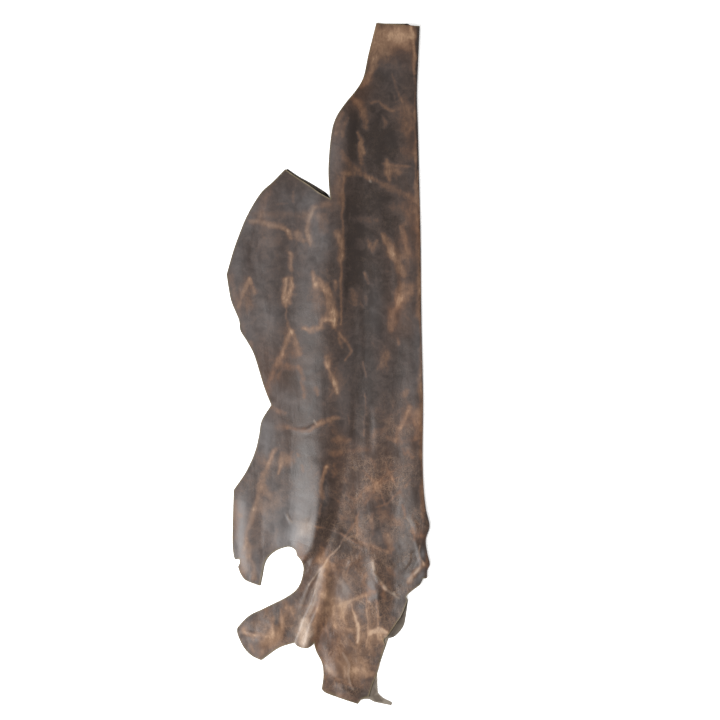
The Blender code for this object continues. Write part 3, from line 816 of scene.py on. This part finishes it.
def insidePoints(outline, lowAcross, highAcross, pitch, rowStep=0.0):  # staggered rows in the pattern
    rowStep = rowStep or pitch * np.sqrt(3) / 2
    ends = np.roll(outline, -1, axis=0)
    found = []
    columns = np.arange(lowAcross, highAcross, pitch)
    for row, y in enumerate(np.arange(outline[:, 1].min(), outline[:, 1].max(), rowStep)):
        crossed = (outline[:, 1] > y) != (ends[:, 1] > y)
        a = outline[crossed]
        b = ends[crossed]
        crossings = np.sort(a[:, 0] + (y - a[:, 1]) / (b[:, 1] - a[:, 1]) * (b[:, 0] - a[:, 0]))
        across = columns + (row % 2) * pitch / 2
        across = across[np.searchsorted(crossings, across) % 2 == 1]
        found.append(np.stack([across, np.full(len(across), y)], axis=1))
    return np.concatenate(found)


def lookupTree(points):
    tree = kdtree.KDTree(len(points))
    for index, point in enumerate(points):
        tree.insert(point, index)
    tree.balance()
    return tree


def sideMesh(outline, upperPitch, lowerPitch, rollPitch, rollStep):  # points and triangles of one side
    edge = lookupTree([(across, y, 0.0) for across, y in outline])
    nearRoll = hideShape["rollHalfWidth"] + hideShape["rollMargin"]
    parts = [
        (insidePoints(outline, nearRoll + upperPitch, outline[:, 0].max(), upperPitch), upperPitch),
        (insidePoints(outline, outline[:, 0].min(), -nearRoll - lowerPitch / 2, lowerPitch), lowerPitch),
        (insidePoints(outline, -nearRoll, nearRoll + rollPitch, rollPitch, rollStep), rollPitch),
    ]
    inner = [
        (across, y) for points, pitch in parts for across, y in points
        if edge.find((across, y, 0.0))[2] > min(pitch, hideShape["mostEdgePitch"]) * hideShape["edgeRoom"]
    ]
    points = [Vector(point) for point in outline] + [Vector(point) for point in inner]
    count = len(outline)
    edges = [(index, (index + 1) % count) for index in range(count)]
    vertices, _, triangles, _, _, _ = delaunay_2d_cdt(points, edges, [list(range(count))], 1, 1e-5)
    return np.array([vertex[:] for vertex in vertices]), np.array(triangles)


def strokes(marks, x, y):  # strength of listed marks, with ragged outlines
    ragX = x + noiseSum(strokeLook["raggedX"], x, y)
    ragY = y + noiseSum(strokeLook["raggedY"], x, y)
    patchy = strokeLook["strength"] + noiseSum(strokeLook["patchy"], x, y * 0.5)
    uneven = 1.0 + noiseSum(strokeLook["uneven"], x, y)
    ends = strokeLook["endWidth"]
    total = np.zeros(len(x))
    for strength, width, points in marks:
        line = np.array(points, float)
        reach = width * 2.2 + 10
        low = line.min(axis=0) - reach
        high = line.max(axis=0) + reach
        near = np.nonzero((x > low[0]) & (x < high[0]) & (y > low[1]) & (y < high[1]))[0]
        if len(near) == 0:
            continue
        distance, share, index, _ = nearestOnLine(points, ragX[near], ragY[near])
        along = np.clip((index + share) / (len(points) - 1), 0.06, 0.94)
        taper = ends + (1 - ends) * np.sin(np.pi * along) ** 0.6
        coreWidth = width * strokeLook["coreWidth"] * taper * uneven[near]
        core = np.exp(-0.7 * (2 * distance / coreWidth) ** 2.4)
        halo = np.exp(-0.7 * (0.8 * distance / width) ** 2)
        mark = strength * (core + (halo - core) * strokeLook["haloShare"]) * patchy[near]
        total[near] = total[near] + mark * (1 - 0.7 * np.clip(total[near], 0, 1))
    return np.clip(total, 0.0, 1.0)


def clouds(table, x, y):
    total = np.zeros(len(x))
    warpX = x + noiseSum(cloudLook["warpX"], x, y)
    warpY = y + noiseSum(cloudLook["warpY"], x, y)
    for amount, cloudX, cloudY, reachX, reachY in table:
        total += amount * np.exp(-((warpX - cloudX) / reachX) ** 2 - ((warpY - cloudY) / reachY) ** 2)
    return np.clip(total, -1.0, 1.0)


def strayMarks(seed, count, rangeX, rangeY, lengths, width, strengths):  # small scratches, at random
    chance = np.random.default_rng(seed)
    marks = []
    for _ in range(count):
        startX = chance.uniform(*rangeX)
        startY = chance.uniform(*rangeY)
        half = chance.uniform(*lengths) / 2
        angle = chance.normal(-1.25, 0.6)
        bend = chance.normal(0, 0.25)
        midX = startX + np.cos(angle) * half
        midY = startY + np.sin(angle) * half
        endX = midX + np.cos(angle + bend) * half
        endY = midY + np.sin(angle + bend) * half
        marks.append((chance.uniform(*strengths), width, [(startX, startY), (midX, midY), (endX, endY)]))
    return marks


outline = flatPattern()
grainPoints, grainFaces = sideMesh(
    outline, hideShape["grainPitch"], hideShape["lowerGrainPitch"], *hideShape["rollGrainPitch"],
)
fleshPoints, fleshFaces = sideMesh(
    outline, hideShape["fleshPitch"], hideShape["lowerFleshPitch"], *hideShape["rollFleshPitch"],
)
ring = len(outline)
print("pattern cut:", ring, "edge points,", len(grainFaces), "and", len(fleshFaces), "triangles")


def paintWearSheenAndShade(mesh, places, edgeMiddle):  # where the leather is worn, with painted sheen, highlights and shade, as values on the mesh's points
    x = places[:, 0].copy()
    y = places[:, 1].copy()
    across = np.concatenate([grainPoints[:, 0], fleshPoints[:, 0], outline[:, 0]])
    onTop = across > -hideShape["rollHalfWidth"] * 0.6
    x[~onTop] -= hideShape["lowerShift"]
    stray = [mark for patch in strayPatches for mark in strayMarks(*patch)]
    edge = lookupTree(edgeMiddle)
    toEdge = np.array([edge.find(place)[2] for place in places])
    values = {
        "rub": np.clip(strokes(rubMarks, x, y) + strokeLook["strayShare"] * strokes(stray, x, y), 0, 1),
        "sheenAndBloom": clouds(greySheenClouds, x, y),
        "paleAndHighlight": strokes(paleScratchesAndHighlights, x, y),
        "gapShade": strokes(shadeUnderEdgeMarks, places[:, 0], places[:, 1]),
        "darkDyeAndShade": strokes(shadeAndDarkDyeMarks, x, y),
        "toneAndLight": clouds(lightAndToneClouds, x, y),
        "warm": np.clip(cloudLook["leastWarm"] + clouds(warmClouds, x, y), 0, 1),
        "fibre": np.clip(clouds(fibreClouds, x, y), 0, 1),
        "cutEdge": np.clip(1 - toEdge / hideShape["wornRim"], 0, 1) ** 1.5,
    }
    for name, amounts in values.items():
        mesh.attributes.new(name, "FLOAT", "POINT").data.foreach_set("value", amounts.astype(np.float32))


def makeHide():
    halfThickness = hideShape["thickness"] / 2
    grainPlaces = foldedPlaces(*grainPoints.T) + grainNormals(*grainPoints.T) * halfThickness
    fleshPlaces = foldedPlaces(*fleshPoints.T) - grainNormals(*fleshPoints.T) * halfThickness
    edgeMiddle = foldedPlaces(*outline.T)
    tangent = np.roll(edgeMiddle, -1, axis=0) - np.roll(edgeMiddle, 1, axis=0)
    tangent /= np.linalg.norm(tangent, axis=1)[:, None]
    outward = np.cross(grainNormals(*outline.T), tangent)
    edgeMiddle += outward * hideShape["edgeBulge"]
    places = np.concatenate([grainPlaces, fleshPlaces, edgeMiddle])
    places[:, 2] = np.maximum(places[:, 2], 0.0)
    fleshStart = len(grainPlaces)
    edgeStart = fleshStart + len(fleshPlaces)
    here = np.arange(ring)
    there = (here + 1) % ring
    upperRim = np.stack([here, there, edgeStart + there, edgeStart + here], axis=1)
    lowerRim = np.stack([
        edgeStart + here, edgeStart + there, fleshStart + there, fleshStart + here,
    ], axis=1)
    faces = grainFaces[:, ::-1].tolist() + (fleshFaces + fleshStart).tolist()
    faces += upperRim.tolist() + lowerRim.tolist()
    mesh = bpy.data.meshes.new("hide")
    mesh.from_pydata(places * mm, [], faces)
    slots = np.repeat([0, 1, 2], [len(grainFaces), len(fleshFaces), 2 * ring])
    mesh.polygons.foreach_set("material_index", slots)
    mesh.shade_smooth()
    edgeEnds = np.empty(len(mesh.edges) * 2, int)
    mesh.edges.foreach_get("vertices", edgeEnds)
    edgeEnds = edgeEnds.reshape(-1, 2)
    onGrain = (edgeEnds < ring).all(axis=1)
    onFlesh = ((edgeEnds >= fleshStart) & (edgeEnds < fleshStart + ring)).all(axis=1)
    gap = np.abs(edgeEnds[:, 0] - edgeEnds[:, 1])
    beside = (gap == 1) | (gap == ring - 1)
    mesh.edges.foreach_set("use_edge_sharp", (onGrain | onFlesh) & beside)
    paintWearSheenAndShade(mesh, places, edgeMiddle)
    hide = bpy.data.objects.new("hide", mesh)
    bpy.context.scene.collection.objects.link(hide)
    return hide


hide = makeHide()
print("hide built:", len(hide.data.vertices), "vertices,", len(hide.data.loops), "corners")


# Small helpers for node trees.
def addNode(tree, kind, inputs=None, **settings):
    node = tree.nodes.new(kind)
    for name, value in settings.items():
        setattr(node, name, value)
    for name, value in (inputs or {}).items():
        if isinstance(value, bpy.types.NodeSocket):
            tree.links.new(value, node.inputs[name])
        else:
            node.inputs[name].default_value = value
    return node


def calculate(tree, operation, first, second=0.0, third=0.0, clamp=False):
    inputs = {0: first, 1: second, 2: third}
    return addNode(tree, "ShaderNodeMath", inputs, operation=operation, use_clamp=clamp).outputs[0]


def times(tree, first, second):
    return calculate(tree, "MULTIPLY", first, second)


def scaled(tree, value, gain, added, clamp=False):
    return calculate(tree, "MULTIPLY_ADD", value, gain, added, clamp)


def larger(tree, first, second):
    return second if first is None else calculate(tree, "MAXIMUM", first, second)


def stretched(tree, place, factors):
    return addNode(tree, "ShaderNodeVectorMath", {0: place, 1: factors}, operation="MULTIPLY").outputs[0]


def remap(tree, value, fromLow, fromHigh, toLow=0.0, toHigh=1.0, kind="SMOOTHSTEP"):
    return addNode(tree, "ShaderNodeMapRange", {
        "Value": value, "From Min": fromLow, "From Max": fromHigh, "To Min": toLow, "To Max": toHigh,
    }, interpolation_type=kind).outputs["Result"]


def mixColours(tree, amount, first, second, blend="MIX"):
    inputs = {0: amount, 6: first, 7: second}
    return addNode(tree, "ShaderNodeMix", inputs, data_type="RGBA", blend_type=blend).outputs[2]


def noise(tree, place, scale, detail=2.0, roughness=0.5, distortion=0.0):
    return addNode(tree, "ShaderNodeTexNoise", {
        "Vector": place,
        "Scale": scale,
        "Detail": detail,
        "Roughness": roughness,
        "Distortion": distortion,
    }).outputs["Fac"]


def attribute(tree, name):
    return addNode(tree, "ShaderNodeAttribute", attribute_name=name).outputs["Fac"]


def bump(tree, height, strength, distance, below=None):
    inputs = {"Strength": strength, "Distance": distance, "Height": height}
    if below is not None:
        inputs["Normal"] = below
    return addNode(tree, "ShaderNodeBump", inputs).outputs[0]


def newGroup(name, inputs, output):
    group = bpy.data.node_groups.new(name, "ShaderNodeTree")
    for label, kind, default in inputs:
        socket = group.interface.new_socket(label, in_out="INPUT", socket_type=kind)
        if default is not None:
            socket.default_value = default
    group.interface.new_socket(output, in_out="OUTPUT", socket_type="NodeSocketFloat")
    return group, group.nodes.new("NodeGroupInput"), group.nodes.new("NodeGroupOutput").inputs[output]


def placeGroup(tree, group, **inputs):
    return addNode(tree, "ShaderNodeGroup", inputs, node_tree=group).outputs[0]


# Breaks a soft mask into worn leather fibres.
def makeWornFibres():
    group, given, result = newGroup("worn fibres", [
        ("Place", "NodeSocketVector", None),
        ("Mask", "NodeSocketFloat", 0.0),
        ("Size", "NodeSocketFloat", 1.0),
    ], "Mask")
    size = given.outputs["Size"]
    place = stretched(group, given.outputs["Place"], (1.0, 0.42, 1.0))
    coarse = noise(group, place, calculate(group, "DIVIDE", 70.0, size), 3.0, 0.55, 0.8)
    fine = noise(group, place, calculate(group, "DIVIDE", 230.0, size), 3.0, 0.65, 1.6)
    speckle = calculate(group, "ADD", times(group, coarse, 0.6), times(group, fine, 0.4))
    spread = remap(group, speckle, 0.34, 0.66, 0.62, 1.25, kind="LINEAR")
    worn = times(group, given.outputs["Mask"], spread)
    group.links.new(remap(group, worn, 0.03, 1.0, kind="LINEAR"), result)
    return group


# A tangle of thin curly lines, 1 on a line and 0 between.
def makeFibreTangle():
    group, given, result = newGroup("fibre tangle", [
        ("Place", "NodeSocketVector", None),
        ("Scale", "NodeSocketFloat", 20.0),
        ("Line", "NodeSocketFloat", 0.02),
    ], "Lines")
    tangle = None
    for turn, stretch in enumerate(((1.0, 0.55, 1.0), (0.6, 1.0, 1.0), (1.3, 1.2, 1.0))):
        place = stretched(group, given.outputs["Place"], stretch)
        offset = (3.7 * turn, 1.9 * turn, 0.8)
        apart = addNode(group, "ShaderNodeVectorMath", {0: place, 1: offset}).outputs[0]
        level = noise(group, apart, given.outputs["Scale"], 3.0, 0.55, 1.4)
        away = calculate(group, "ABSOLUTE", calculate(group, "SUBTRACT", level, 0.5))
        tangle = larger(group, tangle, remap(group, away, 0.0, given.outputs["Line"], 1.0, 0.0))
    group.links.new(tangle, result)
    return group


# Short straight streaks in three directions, 1 on a streak and 0 between.
def makeFineStreaks():
    group, given, result = newGroup("fine streaks", [
        ("Place", "NodeSocketVector", None),
        ("Scale", "NodeSocketFloat", 40.0),
    ], "Lines")
    streaks = None
    for angle in (-0.35, 0.25, 0.95):
        turned = addNode(group, "ShaderNodeVectorRotate", {
            "Vector": given.outputs["Place"], "Angle": angle,
        }, rotation_type="Z_AXIS").outputs[0]
        place = stretched(group, turned, (4.6, 0.55, 1.0))
        level = noise(group, place, given.outputs["Scale"], 3.0, 0.6, 0.3)
        streaks = larger(group, streaks, remap(group, level, 0.58, 0.72))
    group.links.new(streaks, result)
    return group


# Pores and fine pebbles of the skin, as a height from 0 to 1.
def makeSkinGrain():
    group, given, result = newGroup("skin grain", [
        ("Place", "NodeSocketVector", None),
        ("Scale", "NodeSocketFloat", 500.0),
    ], "Height")
    place = given.outputs["Place"]
    scale = given.outputs["Scale"]
    pebbles = addNode(group, "ShaderNodeTexVoronoi", {
        "Vector": place, "Scale": scale, "Smoothness": 0.6,
    }, feature="SMOOTH_F1").outputs["Distance"]
    rise = remap(group, pebbles, 0.05, 0.7, 1.0, 0.0)
    soft = noise(group, place, times(group, scale, 0.3), 3.0, 0.6)
    group.links.new(calculate(group, "ADD", times(group, rise, 0.6), times(group, soft, 0.4)), result)
    return group


wornFibres = makeWornFibres()
fibreTangle = makeFibreTangle()
fineStreaks = makeFineStreaks()
skinGrain = makeSkinGrain()


def newMaterial(name):
    material = bpy.data.materials.new(name)
    material.use_nodes = True
    tree = material.node_tree
    return material, tree, tree.nodes["Principled BSDF"]


def startLeather(name):
    material, tree, shader = newMaterial(name)
    return material, tree, shader, addNode(tree, "ShaderNodeTexCoord").outputs["Object"]


def finishLeather(tree, shader, colour, roughness, normal, specular):
    tree.links.new(colour, shader.inputs["Base Color"])
    tree.links.new(roughness, shader.inputs["Roughness"])
    tree.links.new(normal, shader.inputs["Normal"])
    shader.inputs["Specular IOR Level"].default_value = specular


# Noise scales are per metre. The gains say how much each layer adds to the wear with its painted light and
# shade, which runs from 0 to 1.
grainLook = {
    "wearLightAndShade": [   # from waxed charcoal to bare tan
        (0.0, (0.0175, 0.0118, 0.0098, 1)),
        (0.16, (0.036, 0.0246, 0.0208, 1)),
        (0.29, (0.060, 0.0350, 0.0245, 1)),
        (0.42, (0.090, 0.0500, 0.0305, 1)),
        (0.68, (0.158, 0.0920, 0.0550, 1)),
        (1.0, (0.305, 0.2010, 0.1270, 1)),
    ],
    "startWear": -0.12,
    "broadGain": 0.10,
    "mottleGain": 0.14,
    "fleckGain": 0.2,
    "rubGain": 0.75,
    # darker dye and painted shade
    "shadeAndDarkDyeGain": -0.4,
    # grey of the wax bloom, also the painted sheen
    "waxBloomSheen": (0.110, 0.108, 0.112, 1),
    "fineLine": (0.235, 0.145, 0.090, 1),
    "warmTint": (0.96, 0.78, 0.66, 1),   # multiplies the colour
    "brownDye": (0.070, 0.0350, 0.0200, 1),
    "brownShare": 0.34,
    # pale rubs, also the painted highlights
    "paleRubAndHighlight": (0.50, 0.40, 0.32, 1),
    "paleShare": 0.65,
    "cutLine": (0.16, 0.13, 0.06, 1),
    "cutShare": 0.7,
    "broadScale": 7.0,
    "rippleScale": 17.0,
    "rippleStretch": (1.0, 0.24, 1.0),   # ripples run along the backbone
    "mottleScale": 26.0,
    "patchScale": 13.0,
    "fleckScale": 110.0,
    "wrinkleScale": 44.0,
    "poreScale": 520.0,
    "net": {"Scale": 15.0, "Line": 0.014},
    "fineNet": {"Scale": 36.0, "Line": 0.03},
    "fineNetShare": 0.4,
    "streakScale": 34.0,
    "streakShare": 0.8,
    "specular": 0.34,
}


def wearColours(tree, wearLightAndShade):
    ramp = addNode(tree, "ShaderNodeValToRGB", {"Fac": wearLightAndShade})
    stops = ramp.color_ramp.elements
    for index, (position, colour) in enumerate(grainLook["wearLightAndShade"]):
        stop = stops[index] if index < 2 else stops.new(position)
        stop.position = position
        stop.color = colour
    return ramp.outputs["Color"]


def makeGrainMaterial():
    look = grainLook
    material, tree, shader, place = startLeather("waxed grain side")
    fibre = attribute(tree, "fibre")
    broad = remap(tree, noise(tree, place, look["broadScale"], 3.0, 0.55, 0.5), 0.3, 0.7)
    lengthwise = stretched(tree, place, look["rippleStretch"])
    ripples = noise(tree, lengthwise, look["rippleScale"], 3.0, 0.5, 0.6)
    streaky = remap(tree, ripples, 0.32, 0.68)
    mottle = remap(tree, noise(tree, place, look["mottleScale"], 4.0, 0.62, 0.7), 0.3, 0.72)
    patches = remap(tree, noise(tree, place, look["patchScale"], 3.0, 0.6), 0.34, 0.6)
    flecks = noise(tree, place, look["fleckScale"], 3.0, 0.7, 0.5)

    lines = placeGroup(tree, fibreTangle, Place=place, **look["net"])
    fineNet = placeGroup(tree, fibreTangle, Place=place, **look["fineNet"])
    streaks = placeGroup(tree, fineStreaks, Place=place, Scale=look["streakScale"])
    lines = larger(tree, lines, times(tree, fineNet, look["fineNetShare"]))
    lines = larger(tree, lines, times(tree, streaks, look["streakShare"]))
    someLines = times(tree, lines, patches)
    lineMask = times(tree, someLines, scaled(tree, fibre, 0.56, 0.06))

    rub = placeGroup(tree, wornFibres, Place=place, Mask=attribute(tree, "rub"), Size=1.0)
    # broad wear with painted light and shade
    wearLightAndShade = calculate(tree, "ADD", attribute(tree, "toneAndLight"), look["startWear"])
    wearLightAndShade = calculate(tree, "ADD", wearLightAndShade, times(tree, fibre, scaled(tree, patches, 0.1, -0.05)))
    for layer, gain in (
        (broad, look["broadGain"]),
        (mottle, look["mottleGain"]),
        (flecks, look["fleckGain"]),
        (rub, look["rubGain"]),
        # darker dye and painted shade
        (attribute(tree, "darkDyeAndShade"), look["shadeAndDarkDyeGain"]),
    ):
        wearLightAndShade = scaled(tree, layer, gain, wearLightAndShade)

    warm = times(tree, attribute(tree, "warm"), scaled(tree, broad, 0.2, 0.8))
    colour = mixColours(tree, warm, wearColours(tree, wearLightAndShade), look["warmTint"], "MULTIPLY")
    colour = mixColours(tree, times(tree, warm, look["brownShare"]), colour, look["brownDye"])
    colour = mixColours(tree, lineMask, colour, look["fineLine"])
    # Painted sheen: grey wax bloom laid on where slopes catch the light, streaked along the backbone.
    hazySheen = scaled(tree, streaky, 0.26, scaled(tree, mottle, 0.2, 0.27))
    colour = mixColours(tree, times(tree, attribute(tree, "sheenAndBloom"), hazySheen), colour, look["waxBloomSheen"])
    # Pale scratches and worn crests, with painted highlights on crests and sheen spots.
    paleAndHighlight = placeGroup(tree, wornFibres, Place=place, Mask=attribute(tree, "paleAndHighlight"), Size=0.8)
    colour = mixColours(tree, times(tree, paleAndHighlight, look["paleShare"]), colour, look["paleRubAndHighlight"])
    cut = times(tree, attribute(tree, "cutEdge"), look["cutShare"])
    colour = mixColours(tree, cut, colour, look["cutLine"])

    roughness = scaled(tree, rub, 0.14, scaled(tree, mottle, 0.08, 0.36))
    pores = placeGroup(tree, skinGrain, Place=place, Scale=look["poreScale"])
    wrinkles = noise(tree, place, look["wrinkleScale"], 3.0, 0.55, 0.8)
    creases = times(tree, scaled(tree, someLines, -0.3, wrinkles), scaled(tree, fibre, 0.5, 0.2))
    normal = bump(tree, pores, 0.5, 0.00018)
    normal = bump(tree, creases, 0.6, 0.0016, normal)
    normal = bump(tree, ripples, 0.6, 0.0026, normal)
    finishLeather(tree, shader, colour, roughness, normal, look["specular"])
    return material


fleshLook = {
    "suede": (0.088, 0.066, 0.051, 1),
    "deepSuede": (0.048, 0.035, 0.027, 1),
    "looseFibre": (0.25, 0.22, 0.18, 1),
    # painted shade under the upper layer's edge
    "underEdgeShade": (0.008, 0.006, 0.005, 1),
    "napScale": 22.0,
    "strandScale": 900.0,
    "specular": 0.2,
}


def makeFleshMaterial():
    look = fleshLook
    material, tree, shader, place = startLeather("suede flesh side")
    nap = remap(tree, noise(tree, place, look["napScale"], 4.0, 0.65, 0.6), 0.3, 0.7)
    colour = mixColours(tree, nap, look["deepSuede"], look["suede"])
    fuzz = placeGroup(tree, wornFibres, Place=place, Mask=0.5, Size=0.35)
    nearEdge = scaled(tree, attribute(tree, "cutEdge"), 0.7, times(tree, fuzz, 0.4), clamp=True)
    colour = mixColours(tree, nearEdge, colour, look["looseFibre"])
    # Painted shade in the gap under the upper layer's edge.
    colour = mixColours(tree, attribute(tree, "gapShade"), colour, look["underEdgeShade"])
    strands = noise(tree, place, look["strandScale"], 3.0, 0.7, 1.5)
    normal = bump(tree, scaled(tree, nap, 1.5, strands), 0.6, 0.0004)
    roughness = remap(tree, nap, 0.0, 1.0, 0.86, 0.96)
    finishLeather(tree, shader, colour, roughness, normal, look["specular"])
    return material


edgeLook = {
    "rawHide": (0.36, 0.25, 0.18, 1),
    "dyedLine": (0.07, 0.045, 0.03, 1),
    "packedScale": 160.0,
    "specular": 0.5,
}


def makeEdgeMaterial():
    look = edgeLook
    material, tree, shader, place = startLeather("raw cut edge")
    packed = remap(tree, noise(tree, place, look["packedScale"], 4.0, 0.7, 0.8), 0.3, 0.7)
    fuzz = placeGroup(tree, wornFibres, Place=place, Mask=0.6, Size=0.25)
    amount = scaled(tree, packed, 0.6, times(tree, fuzz, 0.4), clamp=True)
    colour = mixColours(tree, amount, look["dyedLine"], look["rawHide"])
    roughness = remap(tree, packed, 0.0, 1.0, 0.8, 0.95)
    finishLeather(tree, shader, colour, roughness, bump(tree, amount, 0.5, 0.0003), look["specular"])
    return material


for make in (makeGrainMaterial, makeFleshMaterial, makeEdgeMaterial):
    hide.data.materials.append(make())
print("leather finished:", [material.name for material in hide.data.materials])

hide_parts("cowhide")
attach(hide, "root")

studio = {
    "floorSize": 40.0,
    "floorDrop": 0.0004,        # keeps the floor just clear of the leather
    "floorColour": (0.93, 0.93, 0.93, 1),
    "floorGlow": 0.45,          # keeps the shadows on it faint, as on a lit table
    "floorRoughness": 0.9,
    "skyColour": (1.0, 0.99, 0.97, 1),
    "skyStrength": 0.58,
    "windowPlace": (-2.4, -1.5, 3.3),
    "windowSize": (2.4, 3.0),
    "windowWatts": 330.0,
    "windowColour": (1.0, 0.985, 0.975),
    "aim": (0.0, 0.0, 0.0),
    "cameraHeight": 6.0,
    "sensorWidth": 36.0,
    "frameWidth": 2.926,        # metres across the picture
    "frameMiddle": (0.129, 0.017),
}


def makeFloor(scene):
    half = studio["floorSize"] / 2
    corners = [(-half, -half, 0), (half, -half, 0), (half, half, 0), (-half, half, 0)]
    mesh = bpy.data.meshes.new("floor")
    mesh.from_pydata(corners, [], [(0, 1, 2, 3)])
    floor = bpy.data.objects.new("floor", mesh)
    floor.location.z = -studio["floorDrop"]
    scene.collection.objects.link(floor)
    material, _, shader = newMaterial("pale floor")
    shader.inputs["Base Color"].default_value = studio["floorColour"]
    shader.inputs["Roughness"].default_value = studio["floorRoughness"]
    shader.inputs["Emission Color"].default_value = studio["floorColour"]
    shader.inputs["Emission Strength"].default_value = studio["floorGlow"]
    mesh.materials.append(material)


def makeLight(scene):
    world = bpy.data.worlds.new("pale studio")
    world.use_nodes = True
    sky = world.node_tree.nodes["Background"]
    sky.inputs["Color"].default_value = studio["skyColour"]
    sky.inputs["Strength"].default_value = studio["skyStrength"]
    scene.world = world
    light = bpy.data.lights.new("window", "AREA")
    light.shape = "RECTANGLE"
    light.size, light.size_y = studio["windowSize"]
    light.energy = studio["windowWatts"]
    light.color = studio["windowColour"]
    window = bpy.data.objects.new("window", light)
    window.location = studio["windowPlace"]
    window.rotation_euler = (Vector(studio["aim"]) - window.location).to_track_quat("-Z", "Y").to_euler()
    scene.collection.objects.link(window)


def makeCamera(scene):
    lens = bpy.data.cameras.new("camera")
    lens.sensor_width = studio["sensorWidth"]
    lens.lens = studio["sensorWidth"] * studio["cameraHeight"] / studio["frameWidth"]
    camera = bpy.data.objects.new("camera", lens)
    camera.location = (*studio["frameMiddle"], studio["cameraHeight"])
    scene.collection.objects.link(camera)
    scene.camera = camera


bpy.context.scene.view_settings.view_transform = "Standard"
makeFloor(bpy.context.scene)
makeLight(bpy.context.scene)
makeCamera(bpy.context.scene)
print("studio set")
